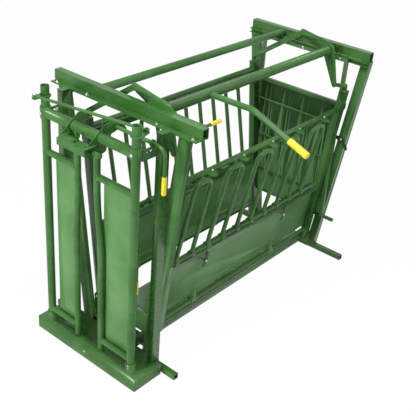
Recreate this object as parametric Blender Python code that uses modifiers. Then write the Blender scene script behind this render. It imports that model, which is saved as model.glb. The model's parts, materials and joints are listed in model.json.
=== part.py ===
# A self-catch cattle crush: head gate, squeeze frame, two squeeze panels with drop bars, tail gate.
# Sizes are metres. X runs from the head gate to the tail gate, Y from the operator's near side to
# the far side, Z up. Everything is modelled about the centreline, from the front of the foot tray.
import math

import bmesh
import bpy
from mathutils import Matrix, Vector

# General clearances and stock sections
GAP = 0.0003            # between pieces that touch
RUN = 0.0004            # radial clearance of a turning fit
PIPE_OD = 0.0483        # door pipes
PIPE_WALL = 0.0032
PLATE = 0.008
SHEET = 0.003

# Foot tray and head gate
TRAY_DEPTH = 0.275
TRAY_WIDTH = 1.060
TRAY_HEIGHT = 0.1045
TRAY_PLATE = 0.005
HINGE_X = 0.058
HINGE_OUT = 0.428       # hinge pipe, outward from the centreline
HINGE_OD = 0.0603
HINGE_WALL = 0.0037
HINGE_TOP = 2.035
COLLAR_WALL = 0.0075
COLLAR_OD = HINGE_OD + 2 * (RUN + COLLAR_WALL)
TRAY_TAB_OUT = 0.110
TRAY_SLOT_Y = 0.009
SLEEVE_LOW = 1.803
SLEEVE_HIGH = 1.887
CROSS_OD = 0.0715
CROSS_Z = (SLEEVE_LOW + SLEEVE_HIGH) / 2 - 0.003
HEAD_POST_X = 0.253
HEAD_POST_OUT = 0.469
HEAD_POST_DEEP = 0.072
HEAD_POST_WIDE = 0.050
HEAD_POST_TOP = 1.950
HEAD_POST_WALL = 0.004

# Doors
DOOR_TOP_Z = 1.552
DOOR_LOW_Z = 0.210
SOCKET_HEIGHT = DOOR_LOW_Z - PIPE_OD / 2 - 0.003 - TRAY_HEIGHT
NECK_TOP_Z = 1.710
NECK_LOW_Z = 0.125
NECK_BEND_HIGH = 1.370
NECK_BEND_LOW = 1.000
NECK_BEND = 2.5         # radius of the two slow bends
NECK_OUT = {"near": (0.077, 0.118), "far": (0.112, 0.132)}
PAN_BEVEL = 0.050
PAN_RISE = 0.018
PAN_POST_GAP = 0.034    # daylight between the hinge pipe and the pan
CRANK_RADIUS = 0.085
CRANK_Z = 1.968
SYNC_OD = 0.021
SYNC_PIN = 0.014
PROP_X = 0.100
PROP_Z = 1.120
PROP_PIN = 0.012
PROP_OD = 0.011
PROP_END = 0.760

# Latch and release
HOUSING_NEAR = -0.110
HOUSING_FAR = 0.145
HOUSING_PLATE = 0.006
RELEASE_X = 0.190
RELEASE_Z = 1.880
RELEASE_OD = 0.027
RELEASE_GRIP_LOW = 1.554
RELEASE_GRIP_HIGH = 1.687
PAWL_X = -0.012
PAWL_Z = 1.757
PAWL_OD = 0.022
PAWL_ARM_Y = 0.020
GRIP_WALL = 0.0035

# Crush frame
BEAM_DEEP = 0.057
BEAM_TALL = 0.0735
BEAM_WALL = 0.005
BEAM_LOW = 1.929
FRONT_BEAM_X = 0.363    # front face
FRONT_BEAM_HALF = 0.693
REAR_BEAM_X = 2.563
REAR_BEAM_HALF = 0.6015
FLAT_FORWARD = 0.050    # the bolting flat stands this far in front of the beam
FLAT_THICK = 0.007
FLAT_LOW = BEAM_LOW - GAP - FLAT_THICK
UPRIGHT_DEEP = 0.057
UPRIGHT_WIDE = 0.076
UPRIGHT_WALL = 0.004
UPRIGHT_OUT = 0.358     # outer face at ground level
UPRIGHT_SLOPE = 0.131
FRONT_UPRIGHT_X = 0.325
FOOT = 0.044
FOOT_WALL = 0.004
FRONT_FOOT_X = 0.2915
REAR_FOOT_X = 2.589
FOOT_HALF = 0.649
RAIL_OUT = 0.225        # outer face of the floor side rails
RAIL_WIDE = 0.040
RAIL_TALL = 0.076
SILL_DEEP = 0.050
SILL_HALF = 0.270
STUB_Z = 0.370
HOOK_X = 2.5515
HOOK_OUT = 0.474
HOOK_Z = 1.200
HOOK_PIN = 0.014
TIE_OD = 0.0603
TIE_OUT = 0.260
TIE_Z = 1.972

# Squeeze
SHAFT_OUT = 0.280       # shaft axis, on the near side of the centreline
SHAFT_Z = 1.976
SHAFT_OD = 0.073
SHAFT_WALL = 0.005
SHAFT_FRONT = 0.445
SHAFT_REAR = 2.450
STUB_OD = 0.030
BEARING_X = 0.4203
CRANK_FRONT_X = 0.452
CRANK_REAR_X = 2.440
ARM_FAR = (0.270, 0.084)      # pin of the far arm, from the shaft
ARM_NEAR = (-0.100, -0.276)   # pin of the near arm
FAR_ARM_PIN = (-SHAFT_OUT + ARM_FAR[0], SHAFT_Z + ARM_FAR[1])
NEAR_ARM_PIN = (-SHAFT_OUT + ARM_NEAR[0], SHAFT_Z + ARM_NEAR[1])
LINK_PIN = 0.016
LINK_SPACE = 0.0008
LINK_EYE = 0.020        # radius of the link's end at the panel
LEVER_X = 0.900
LEVER_OD = 0.042
LEVER_KNEE = 0.668
LEVER_DROP = math.radians(20.4)
LEVER_ARM = 0.498
LEVER_GRIP = 0.166
LOCK_OUT = 0.375
LOCK_Z = 1.985
LOCK_PIN = 0.016
LOCK_REACH = 0.640
LOCK_END = 0.600
LOCK_OD = 0.021

# Side panels: heights along the panel are measured from its pivot
PIVOT_OUT = 0.306
PIVOT_Z = 0.200
PANEL_TILT = math.atan(0.113)
PANEL_FRONT = 0.430
PANEL_REAR = 2.500
FRONT_EAR_X = PANEL_FRONT - 0.018
REAR_EAR_X = PANEL_REAR + 0.008
PIVOT_PIN = 0.025
POST_X = 0.070
POST_D = 0.057
POST_BOTTOM = -0.030
POST_TOP = 1.479
LUG_H = POST_TOP + 0.047
TOP_RAIL = (1.313, 1.368)
TOP_RAIL_THICK = 0.008
HINGE_PIPE_OD = 0.0424
HINGE_PIPE_H = 0.606
HINGE_PIPE_D = 0.010
HINGE_PIPE_FROM = 0.446
HINGE_PIPE_TO = {"near": 2.300, "far": 2.418}
MID_RAIL = (0.522, 0.576)
MID_RAIL_DEEP = 0.050
LOW_PIPE_OD = 0.0337
LOW_PIPE_H = 0.070
BAR_OD = 0.0337
BAR_PITCH = 0.177
BAR_FIRST = {"near": 0.540, "far": 0.540 + BAR_PITCH}
BAR_COUNT = 5
BAR_LONG = 0.700         # from the hinge pipe to the top of a drop bar's hoop
BAR_LEAN = math.radians(5.0)
BAR_CORNER = 0.077
KNUCKLE_LONG = 0.044
KNUCKLE_OD = HINGE_PIPE_OD + 0.012
KICK_TOP_H = 0.510
KICK_D = -0.019
KICK_HINGES = (0.860, 1.880)
KICK_CATCHES = (0.890, 1.915)
CATCH_H = 0.462
CATCH_D = MID_RAIL_DEEP / 2 + 0.0025
CATCH_PIN = 0.010
FAR_PIPE_OD = 0.050
FAR_PIPE_H = 1.410

# Tail gate
GATE_X = 2.505
GATE_TUBE = 0.030
GATE_HALF = 0.434
GATE_LOW = 0.410
GATE_SHEET_TOP = 1.535
GATE_WAVES = 4
GATE_WAVE = 0.006       # half the depth of the corrugation
GATE_STIFFENERS = (1.337, 0.992, 0.652)
TRACK_LOW = 1.889
TRACK_HIGH = TRACK_LOW + 0.0395
GATE_HEAD_TOP = TRACK_LOW + 0.033
TRACK_DEEP = 0.026
TRACK_X = REAR_BEAM_X - GAP - TRACK_DEEP
TRACK_HALF = REAR_BEAM_HALF + 0.006
GATE_ROLLERS = (-0.360, 0.010)

AXIS_X = Vector((1, 0, 0))
AXIS_Y = Vector((0, 1, 0))
AXIS_Z = Vector((0, 0, 1))

for old in list(bpy.data.objects):
    bpy.data.objects.remove(old)
crush = bpy.data.collections.new("cattle_crush")
workshop = bpy.data.collections.new("cutters")
workshop.hide_render = True
for collection in (crush, workshop):
    bpy.context.scene.collection.children.link(collection)


def paint(name, colour, roughness, metallic):
    material = bpy.data.materials.new(name)
    material.use_nodes = True
    shader = material.node_tree.nodes["Principled BSDF"]
    shader.inputs["Base Color"].default_value = (*colour, 1)
    shader.inputs["Roughness"].default_value = roughness
    shader.inputs["Metallic"].default_value = metallic
    return material


def piece(mesh):
    obj = bpy.data.objects.new("piece", mesh)
    obj.display_type = "WIRE"
    workshop.objects.link(obj)
    return obj


def evaluated_mesh(obj):
    bpy.context.view_layer.update()
    graph = bpy.context.evaluated_depsgraph_get()
    return bpy.data.meshes.new_from_object(obj.evaluated_get(graph))


def curve_piece(curve):
    """The mesh of a curve, with its loose caps welded on."""
    guide = bpy.data.objects.new("guide", curve)
    workshop.objects.link(guide)
    mesh = evaluated_mesh(guide)
    bpy.data.objects.remove(guide)
    shell = bmesh.new()
    shell.from_mesh(mesh)
    bmesh.ops.remove_doubles(shell, verts=shell.verts, dist=0.00002)
    bmesh.ops.recalc_face_normals(shell, faces=shell.faces)
    shell.to_mesh(mesh)
    shell.free()
    mesh.materials.clear()
    return piece(mesh)


def flat(outline, thickness, holes=()):
    """A flat outline in local XY, thickened evenly about local Z."""
    curve = bpy.data.curves.new("outline", "CURVE")
    curve.dimensions = "2D"
    curve.fill_mode = "BOTH"
    curve.extrude = thickness / 2
    for loop in (outline, *holes):
        spline = curve.splines.new("POLY")
        spline.points.add(len(loop) - 1)
        for point, (u, v) in zip(spline.points, loop):
            point.co = (u, v, 0, 1)
        spline.use_cyclic_u = True
    return curve_piece(curve)


def plate(plane, outline, low, high, holes=()):
    """A plate in the xy, xz or yz plane, reaching from low to high along the third axis."""
    across, up, depth = {"xy": (AXIS_X, AXIS_Y, AXIS_Z), "xz": (AXIS_X, AXIS_Z, AXIS_Y),
                         "yz": (AXIS_Y, AXIS_Z, AXIS_X)}[plane]
    made = flat(outline, high - low, holes)
    turn = Matrix((across, up, across.cross(up))).transposed().to_4x4()
    made.data.transform(Matrix.Translation(depth * (low + high) / 2) @ turn)
    return made


def along(start, end, outline, holes=(), up=AXIS_Z):
    """A section swept straight from start to end, its second coordinate towards up."""
    start, end = Vector(start), Vector(end)
    made = flat(outline, (end - start).length, holes)
    forward = (end - start).normalized()
    side = up.cross(forward).normalized()
    turn = Matrix((side, forward.cross(side), forward)).transposed().to_4x4()
    made.data.transform(Matrix.Translation((start + end) / 2) @ turn)
    return made


def rectangle(u0, v0, u1, v1):
    return [(u0, v0), (u1, v0), (u1, v1), (u0, v1)]


def centred(width, height):
    return rectangle(-width / 2, -height / 2, width / 2, height / 2)


def clear(diameter, sides, room=RUN):
    """Diameter of a bore with that many sides whose flats stand that room clear of a round bar."""
    return (diameter + 2 * room) / math.cos(math.pi / sides)


def circle(radius, u=0.0, v=0.0, sides=12):
    turns = [2 * math.pi * (i + 0.5) / sides for i in range(sides)]
    return [(u + radius * math.cos(t), v + radius * math.sin(t)) for t in turns]


def slot(length, width, u=0.0, v=0.0, angle=0.0):
    """A hole with round ends, centred on u, v."""
    half = (length - width) / 2
    side = Vector((math.cos(angle), math.sin(angle))) * half
    return strap((u - side.x, v - side.y), (u + side.x, v + side.y), width / 2, width / 2, 3)


def strap(first, second, radius_one, radius_two, steps=4):
    """The outline round two circles: a link, a lever arm or a slot."""
    first, second = Vector(first), Vector(second)
    heading = math.atan2(second.y - first.y, second.x - first.x)
    lean = math.acos((radius_one - radius_two) / (second - first).length)
    points = []
    for centre, radius, start, sweep in ((second, radius_two, -lean, 2 * lean),
                                         (first, radius_one, lean, 2 * (math.pi - lean))):
        for i in range(steps + 1):
            turn = heading + start + sweep * i / steps
            points.append((centre.x + radius * math.cos(turn), centre.y + radius * math.sin(turn)))
    return points


def softened(points, radius, steps=2):
    """An outline with each corner rounded, by no more than its shorter side allows."""
    rounded = []
    for before, corner, after in zip(points[-1:] + points[:-1], points, points[1:] + points[:1]):
        before, corner, after = Vector(before), Vector(corner), Vector(after)
        reach = min(radius, (before - corner).length / 2.1, (after - corner).length / 2.1)
        start = corner + (before - corner).normalized() * reach
        end = corner + (after - corner).normalized() * reach
        for i in range(steps + 1):
            t = i / steps
            rounded.append(tuple(start * (1 - t) ** 2 + corner * 2 * t * (1 - t) + end * t ** 2))
    return rounded


def tube(start, end, width, height, wall, up=AXIS_Z):
    return along(start, end, centred(width, height),
                 [centred(width - 2 * wall, height - 2 * wall)], up)


def pipe(start, end, diameter, wall, sides=16, up=AXIS_Z):
    return along(start, end, circle(diameter / 2, sides=sides),
                 [circle(diameter / 2 - wall, sides=sides)], up)


def rod(start, end, diameter, sides=12, up=AXIS_Z):
    return along(start, end, circle(diameter / 2, sides=sides), (), up)


def block(low, high):
    shell = bmesh.new()
    bmesh.ops.create_cube(shell, size=1)
    mesh = bpy.data.meshes.new("block")
    shell.to_mesh(mesh)
    shell.free()
    size = [h - l for l, h in zip(low, high)]
    centre = [(h + l) / 2 for l, h in zip(low, high)]
    mesh.transform(Matrix.Translation(centre) @ Matrix.Diagonal((*size, 1)))
    return piece(mesh)


def bend_points(points, radius, steps=3):
    """A route through the points, with each inner corner turned on a curve of about that radius."""
    points = [Vector(p) for p in points]
    route = [points[0]]
    for before, corner, after in zip(points, points[1:], points[2:]):
        into, away = (corner - before).normalized(), (after - corner).normalized()
        half = into.angle(away) / 2
        reach = min(radius * math.tan(half), (corner - before).length / 2.1,
                    (after - corner).length / 2.1)
        start, end = corner - into * reach, corner + away * reach
        for i in range(steps + 1):
            t = i / steps
            route.append(start * (1 - t) ** 2 + corner * 2 * t * (1 - t) + end * t ** 2)
    route.append(points[-1])
    return route


def bent(points, diameter, radius, resolution=2, steps=3):
    """A round bar or pipe, closed at its ends, bent along a route."""
    curve = bpy.data.curves.new("route", "CURVE")
    curve.dimensions = "3D"
    curve.bevel_depth = diameter / 2
    curve.bevel_resolution = resolution
    curve.use_fill_caps = True
    route = bend_points(points, radius, steps)
    spline = curve.splines.new("POLY")
    spline.points.add(len(route) - 1)
    for point, place in zip(spline.points, route):
        point.co = (*place, 1)
    return curve_piece(curve)


def join(pieces, cuts=()):
    """One solid: the pieces welded together, less the cuts."""
    base, *others = pieces
    for operation, tools in (("UNION", others), ("DIFFERENCE", cuts)):
        for tool in tools:
            boolean = base.modifiers.new(operation.title(), "BOOLEAN")
            boolean.operation = operation
            boolean.object = tool
    mesh = evaluated_mesh(base)
    for used in (*pieces, *cuts):
        bpy.data.objects.remove(used)
    return piece(mesh)


def moved(made, matrix):
    made.data.transform(matrix)
    if matrix.determinant() < 0:
        made.data.flip_normals()
    return made


def mirrored(made):
    """The same piece on the other side of the centreline."""
    return moved(piece(made.data.copy()), Matrix.Scale(-1, 4, AXIS_Y))


def on_side(made, side):
    """Pieces are drawn on the far side; the near side is their mirror image."""
    return moved(made, Matrix.Scale(-1, 4, AXIS_Y)) if side == "near" else made


def both_sides(made):
    return [made, mirrored(made)]


root = bpy.data.objects.new("crush_root", None)
crush.objects.link(root)


def axis_empty(name, position, parent=root):
    empty = bpy.data.objects.new(name, None)
    empty.empty_display_size = 0.1
    crush.objects.link(empty)
    empty.parent = parent
    empty.location = Vector(position) - origin_of(parent)
    return empty


def origin_of(empty):
    place = Vector(empty.location)
    while empty.parent:
        empty = empty.parent
        place += empty.location
    return place


def node(name, made, material, carrier=root):
    """Names a finished solid, gives it its finish and hangs it on the empty that carries it."""
    workshop.objects.unlink(made)
    crush.objects.link(made)
    made.name = name
    made.data.name = name
    made.display_type = "TEXTURED"
    made.data.transform(Matrix.Translation(-origin_of(carrier)))
    made.parent = carrier
    made.data.materials.clear()
    made.data.materials.append(material)
    made.data.shade_smooth()
    made.data.set_sharp_from_angle(angle=math.radians(35))
    return made


green = paint("green_enamel", (0.045, 0.16, 0.05), 0.38, 0.0)
pan_green = paint("pan_green", (0.07, 0.21, 0.07), 0.42, 0.0)
yellow = paint("yellow_vinyl", (0.85, 0.72, 0.03), 0.45, 0.0)
dark_steel = paint("dark_steel", (0.03, 0.05, 0.03), 0.5, 0.6)


def foot_tray():
    half = TRAY_WIDTH / 2
    tray = block((0, -half, 0), (TRAY_DEPTH, half, TRAY_HEIGHT))
    inside = block((TRAY_PLATE, -half + TRAY_PLATE, -0.01),
                   (TRAY_DEPTH - TRAY_PLATE, half - TRAY_PLATE, TRAY_HEIGHT - TRAY_PLATE))
    socket = rod((HINGE_X, HINGE_OUT, TRAY_HEIGHT - 0.001),
                 (HINGE_X, HINGE_OUT, TRAY_HEIGHT + SOCKET_HEIGHT), COLLAR_OD, 16, AXIS_Y)
    bore = rod((HINGE_X, HINGE_OUT, TRAY_HEIGHT),
               (HINGE_X, HINGE_OUT, TRAY_HEIGHT + SOCKET_HEIGHT + 0.01),
               clear(HINGE_OD, 16), 16, AXIS_Y)
    tab = block((TRAY_DEPTH - 0.001, TRAY_TAB_OUT - 0.030, FOOT + GAP),
                (FRONT_FOOT_X + FOOT, TRAY_TAB_OUT + 0.030, FOOT + GAP + PLATE))
    lifting_slot = plate("yz", slot(0.030, 0.014, TRAY_SLOT_Y, TRAY_HEIGHT / 2), -0.01, 0.01)
    return join([tray, *both_sides(socket), *both_sides(tab)],
                [inside, *both_sides(bore), lifting_slot])


def head_post(side):
    """A post of the head gate with the plate that reaches forward to the hinge sleeve."""
    low, high = TRAY_HEIGHT + GAP, HEAD_POST_TOP
    post = tube((HEAD_POST_X, HEAD_POST_OUT, low), (HEAD_POST_X, HEAD_POST_OUT, high - 0.001),
                HEAD_POST_DEEP, HEAD_POST_WIDE, HEAD_POST_WALL, AXIS_Y)
    cap = block((HEAD_POST_X - HEAD_POST_DEEP / 2 - 0.002, HEAD_POST_OUT - 0.027, high - 0.004),
                (HEAD_POST_X + HEAD_POST_DEEP / 2 + 0.002, HEAD_POST_OUT + 0.027, high))
    rear = HEAD_POST_X + HEAD_POST_DEEP / 2
    tab = block((rear - 0.002, HEAD_POST_OUT - 0.020, FLAT_LOW - GAP - PLATE),
                (FRONT_BEAM_X + 0.010, HEAD_POST_OUT + 0.020, FLAT_LOW - GAP))
    inner = HEAD_POST_OUT - HEAD_POST_WIDE / 2 + 0.001
    bracket = plate("xz", rectangle(HINGE_X + COLLAR_OD / 2 + GAP, CROSS_Z - 0.060, HEAD_POST_X,
                                    RELEASE_Z - 0.020),
                    inner - PLATE, inner, [slot(0.055, 0.014, 0.158, CROSS_Z - 0.007)])
    pieces = [post, cap, tab, bracket]
    cuts = []
    if side == "near":
        pieces.append(plate("xz", circle(0.025, RELEASE_X, RELEASE_Z), inner - PLATE - 0.004, inner))
        cuts.append(rod((RELEASE_X, inner - 0.02, RELEASE_Z), (RELEASE_X, inner + 0.01, RELEASE_Z),
                        clear(RELEASE_OD, 12), 12))
    return on_side(join(pieces, cuts), side)


def cross_pipe():
    cross = rod((HINGE_X, -HINGE_OUT, CROSS_Z), (HINGE_X, HINGE_OUT, CROSS_Z), CROSS_OD, 16)
    hollow = rod((HINGE_X, -HINGE_OUT, CROSS_Z), (HINGE_X, HINGE_OUT, CROSS_Z),
                 CROSS_OD - 0.010, 12)
    sleeve = rod((HINGE_X, HINGE_OUT, SLEEVE_LOW), (HINGE_X, HINGE_OUT, SLEEVE_HIGH),
                 COLLAR_OD, 16, AXIS_Y)
    bore = rod((HINGE_X, HINGE_OUT, SLEEVE_LOW - 0.01), (HINGE_X, HINGE_OUT, SLEEVE_HIGH + 0.01),
               clear(HINGE_OD, 16), 16, AXIS_Y)
    return join([cross, *both_sides(sleeve)], [hollow, *both_sides(bore)])


def latch_housing():
    bed, top = PAWL_Z - 0.035, RELEASE_Z + 0.045
    outline = [(-0.080, bed + 0.030), (-0.080, PAWL_Z + 0.043), (-0.055, PAWL_Z + 0.055),
               (0.100, top), (0.212, top - 0.013), (0.222, top - 0.065), (0.125, CROSS_Z - 0.007),
               (0.105, bed + 0.013), (0.060, bed), (-0.045, bed)]
    holes = [circle(clear(CROSS_OD, 16, GAP) / 2, HINGE_X, CROSS_Z, 16),
             circle(clear(PAWL_OD, 12) / 2, PAWL_X, PAWL_Z),
             circle(clear(RELEASE_OD, 12) / 2, RELEASE_X, RELEASE_Z)]
    sides = [plate("xz", softened(outline, 0.008, 1), y - HOUSING_PLATE / 2, y + HOUSING_PLATE / 2,
                   holes) for y in (HOUSING_NEAR, HOUSING_FAR)]
    low, high = HOUSING_NEAR - HOUSING_PLATE, HOUSING_FAR + HOUSING_PLATE
    shelf = plate("xy", rectangle(-0.084, low, 0.000, high), PAWL_Z + 0.033, PAWL_Z + 0.039,
                  [slot(0.050, 0.026, -0.031, PAWL_ARM_Y)])
    lip = block((-0.084, low, PAWL_Z - 0.009), (-0.078, high, PAWL_Z + 0.0385))
    return join([*sides, shelf, lip])


def catch_pawl():
    shaft = rod((PAWL_X, HOUSING_NEAR - 0.080, PAWL_Z), (PAWL_X, HOUSING_FAR + 0.015, PAWL_Z),
                PAWL_OD)
    roller = rod((PAWL_X, HOUSING_NEAR - 0.072, PAWL_Z), (PAWL_X, HOUSING_NEAR - 0.010, PAWL_Z),
                 0.040, 16)
    fingers = [plate("xz", strap((PAWL_X, PAWL_Z), (0.060, PAWL_Z - 0.019), 0.020, 0.014), y - 0.014,
                     y + 0.014) for y in (-NECK_OUT["near"][0], NECK_OUT["far"][0])]
    arm = plate("xz", strap((PAWL_X, PAWL_Z), (-0.034, RELEASE_Z - 0.018), 0.011, 0.008), PAWL_ARM_Y - 0.006,
                PAWL_ARM_Y + 0.006)
    return join([shaft, roller, arm, *fingers])


def release_handle():
    reach = -(HEAD_POST_OUT + HEAD_POST_WIDE / 2 + 0.056)
    handle = bent([(RELEASE_X, HOUSING_NEAR + 0.090, RELEASE_Z), (RELEASE_X, reach, RELEASE_Z),
                   (RELEASE_X, reach, RELEASE_GRIP_LOW + GRIP_WALL)], RELEASE_OD, 0.085, 3, 5)
    arm = plate("xz", strap((RELEASE_X, RELEASE_Z), (RELEASE_X - 0.055, RELEASE_Z + 0.020), 0.020,
                            0.011), HOUSING_NEAR + 0.055, HOUSING_NEAR + 0.063)
    grip = grip_cup((RELEASE_X, reach, RELEASE_GRIP_LOW), (RELEASE_X, reach, RELEASE_GRIP_HIGH),
                    RELEASE_OD, AXIS_Y)
    return join([handle, arm]), grip


def grip_cup(closed_end, open_end, inner, up=AXIS_Z):
    """A soft grip over the end of a bar: a tube that is closed at one end."""
    closed_end, open_end = Vector(closed_end), Vector(open_end)
    way = (open_end - closed_end).normalized()
    body = rod(closed_end, open_end, inner + 2 * GRIP_WALL, 14, up)
    bore = rod(closed_end + way * (GRIP_WALL - GAP), open_end + way * 0.01, clear(inner, 14, GAP), 14,
               up)
    return join([body], [bore])


def door_frame(side):
    """Hinge pipe, two cross pipes and the bent neck bar, with the crank of the sync rod."""
    neck_high, neck_low = NECK_OUT[side]
    hinge = rod((HINGE_X, HINGE_OUT, TRAY_HEIGHT + GAP), (HINGE_X, HINGE_OUT, HINGE_TOP), HINGE_OD,
                16, AXIS_Y)
    bore = rod((HINGE_X, HINGE_OUT, TRAY_HEIGHT - 0.02), (HINGE_X, HINGE_OUT, HINGE_TOP + 0.02),
               HINGE_OD - 2 * HINGE_WALL, 16, AXIS_Y)
    crossings = []
    cuts = [bore]
    for y, z in ((neck_high, DOOR_TOP_Z), (neck_low, DOOR_LOW_Z)):
        crossings.append(rod((HINGE_X, HINGE_OUT - 0.012, z), (HINGE_X, y + 0.004, z), PIPE_OD, 15))
        cuts.append(rod((HINGE_X, HINGE_OUT - 0.006, z), (HINGE_X, y, z), PIPE_OD - 2 * PIPE_WALL, 11))
    route = [(NECK_TOP_Z, neck_high), (NECK_BEND_HIGH, neck_high), (NECK_BEND_LOW, neck_low),
             (NECK_LOW_Z, neck_low)]
    neck = bent([(HINGE_X, y, z) for z, y in route], PIPE_OD, NECK_BEND, 2, 2)
    cuts.append(bent([(HINGE_X, route[0][1], NECK_TOP_Z + 0.01)]
                     + [(HINGE_X, y, z) for z, y in route[1:3]]
                     + [(HINGE_X, neck_low, NECK_LOW_Z - 0.01)], PIPE_OD - 2 * PIPE_WALL, NECK_BEND, 2, 2))
    reach = CRANK_RADIUS if side == "near" else -CRANK_RADIUS
    crank = plate("xy", strap((HINGE_X, HINGE_OUT), (HINGE_X + reach, HINGE_OUT), 0.042, 0.020),
                  CRANK_Z - PLATE, CRANK_Z)
    pin_top = CRANK_Z + SYNC_OD + 0.008 if side == "near" else CRANK_Z - 0.002
    crank_pin = rod((HINGE_X + reach, HINGE_OUT, CRANK_Z - PLATE - 0.009),
                    (HINGE_X + reach, HINGE_OUT, pin_top), SYNC_PIN, 12, AXIS_Y)
    pieces = [hinge, *crossings, neck, crank, crank_pin]
    if side == "near":
        peg = rod((HINGE_X + HINGE_OD / 2 - 0.003, HINGE_OUT, PROP_Z),
                  (PROP_X + 0.012, HINGE_OUT, PROP_Z), PROP_PIN)
        keeper = rod((PROP_X + 0.0075, HINGE_OUT, PROP_Z), (PROP_X + 0.012, HINGE_OUT, PROP_Z),
                     PROP_PIN + 0.010)
        pieces += [peg, keeper]
    return on_side(join(pieces, cuts), side)


def raised_sheet(across, up, rise):
    """A sheet in the yz plane whose middle stands forward of its rim on four bevelled sides."""
    shell = bmesh.new()
    count = len(across) - 1
    bmesh.ops.create_grid(shell, x_segments=count, y_segments=count, size=0.5)
    for vertex in shell.verts:
        i = round((vertex.co.x + 0.5) * count)
        j = round((vertex.co.y + 0.5) * count)
        raised = rise if 2 <= i <= count - 2 and 2 <= j <= count - 2 else 0.0
        vertex.co = (-raised, across[i], up[j])
    bmesh.ops.recalc_face_normals(shell, faces=shell.faces)
    mesh = bpy.data.meshes.new("sheet")
    shell.to_mesh(mesh)
    shell.free()
    made = piece(mesh)
    solidify = made.modifiers.new("Thickness", "SOLIDIFY")
    solidify.thickness = SHEET
    solidify.offset = 0
    solidify.use_even_offset = True
    return join([made])


def door_pan(side):
    inner = NECK_OUT[side][1]
    outer = HINGE_OUT - HINGE_OD / 2 - PAN_POST_GAP
    rim = PIPE_OD / 2 + 0.004
    across = [inner, inner + rim, inner + rim + PAN_BEVEL, outer - PAN_BEVEL - 0.010, outer - 0.010,
              outer]
    low, high = DOOR_LOW_Z - 0.010, DOOR_TOP_Z + 0.010
    edge = rim + 0.022
    up = [low, low + edge, low + edge + PAN_BEVEL, high - edge - PAN_BEVEL, high - edge, high]
    pan = raised_sheet(across, up, PAN_RISE)
    behind = HINGE_X + PIPE_OD / 2 + GAP + SHEET / 2
    return on_side(moved(pan, Matrix.Translation((behind, 0, 0))), side)


def sync_rod():
    """The rod between the cranks: an eye on the near crank's pin and a bolt head at the far end."""
    near = Vector((HINGE_X + CRANK_RADIUS, -HINGE_OUT, CRANK_Z + GAP + SYNC_OD / 2))
    far = Vector((HINGE_X - CRANK_RADIUS, HINGE_OUT, CRANK_Z + GAP + SYNC_OD / 2))
    flat_end = AXIS_Z * SYNC_OD / 2
    eyes = [rod(centre - flat_end, centre + flat_end, 0.034, 14, AXIS_Y) for centre in (near, far)]
    head = rod(far, far + flat_end + AXIS_Z * 0.008, 0.022, 6, AXIS_Y)
    hole = rod(near - flat_end * 2, near + flat_end * 2, clear(SYNC_PIN, 12), 12, AXIS_Y)
    return join([rod(near, far, SYNC_OD), *eyes, head], [hole])


def prop_rod():
    """The light rod that hangs from the near hinge pipe, with its grip."""
    eye = plate("yz", circle(0.016, HINGE_OUT, PROP_Z, 14), PROP_X, PROP_X + 0.007,
                [circle(clear(PROP_PIN, 12) / 2, HINGE_OUT, PROP_Z)])
    middle = PROP_X + 0.0035
    stem = rod((middle, HINGE_OUT, PROP_Z - 0.014), (middle, HINGE_OUT, PROP_END + GRIP_WALL),
               PROP_OD, 10, AXIS_Y)
    grip = grip_cup((middle, HINGE_OUT, PROP_END), (middle, HINGE_OUT, PROP_END + 0.105), PROP_OD,
                    AXIS_Y)
    return on_side(join([eye, stem]), "near"), on_side(grip, "near")


def beam(front, half):
    middle = front + BEAM_DEEP / 2
    height = BEAM_LOW + BEAM_TALL / 2
    return tube((middle, -half, height), (middle, half, height), BEAM_DEEP, BEAM_TALL, BEAM_WALL)


def bolting_flat():
    front, rear = FRONT_BEAM_X - FLAT_FORWARD, FRONT_BEAM_X + BEAM_DEEP
    half = FRONT_BEAM_HALF - 0.010
    places = [sign * y for y in (0.33, half - 0.045) for sign in (-1, 1)]
    holes = [slot(0.050, 0.016, front + FLAT_FORWARD / 2, y, math.pi / 2) for y in places]
    return plate("xy", rectangle(front, -half, rear, half), FLAT_LOW, BEAM_LOW - GAP, holes)


def upright(front, low, side, base=False):
    """A rectangular post that leans outward; its ends are cut level."""
    middle = front + UPRIGHT_DEEP / 2
    centre = UPRIGHT_OUT - UPRIGHT_WIDE / 2
    high = (FLAT_LOW if base else BEAM_LOW) - GAP
    post = tube((middle, centre, low), (middle, centre, high), UPRIGHT_DEEP, UPRIGHT_WIDE,
                UPRIGHT_WALL, AXIS_Y)
    lean = Matrix.Identity(4)
    lean[1][2] = UPRIGHT_SLOPE
    pieces = [moved(post, lean)]
    if base:
        out = UPRIGHT_OUT + UPRIGHT_SLOPE * low
        pieces.append(block((FRONT_FOOT_X, out - UPRIGHT_WIDE - 0.010, low - PLATE + 0.0005),
                            (front + UPRIGHT_DEEP + 0.004, out + 0.010, low + 0.0005)))
    elif side == "near":
        out = UPRIGHT_OUT + UPRIGHT_SLOPE * STUB_Z
        pieces.append(pipe((middle + 0.008, out - 0.003, STUB_Z), (middle + 0.008, out + 0.095, STUB_Z),
                           0.034, 0.004))
        pieces.append(rod((front + 0.002, HOOK_OUT, HOOK_Z), (HOOK_X - 0.004, HOOK_OUT, HOOK_Z),
                          HOOK_PIN))
    return on_side(join(pieces), side)


def foot_tube(front):
    middle = front + FOOT / 2
    return tube((middle, -FOOT_HALF, FOOT / 2), (middle, FOOT_HALF, FOOT / 2), FOOT, FOOT, FOOT_WALL)


def channel(width, height, wall):
    """An inverted channel section, centred."""
    w, h = width / 2, height / 2
    return [(-w, -h), (-w + wall, -h), (-w + wall, h - wall), (w - wall, h - wall), (w - wall, -h),
            (w, -h), (w, h), (-w, h)]


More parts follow.
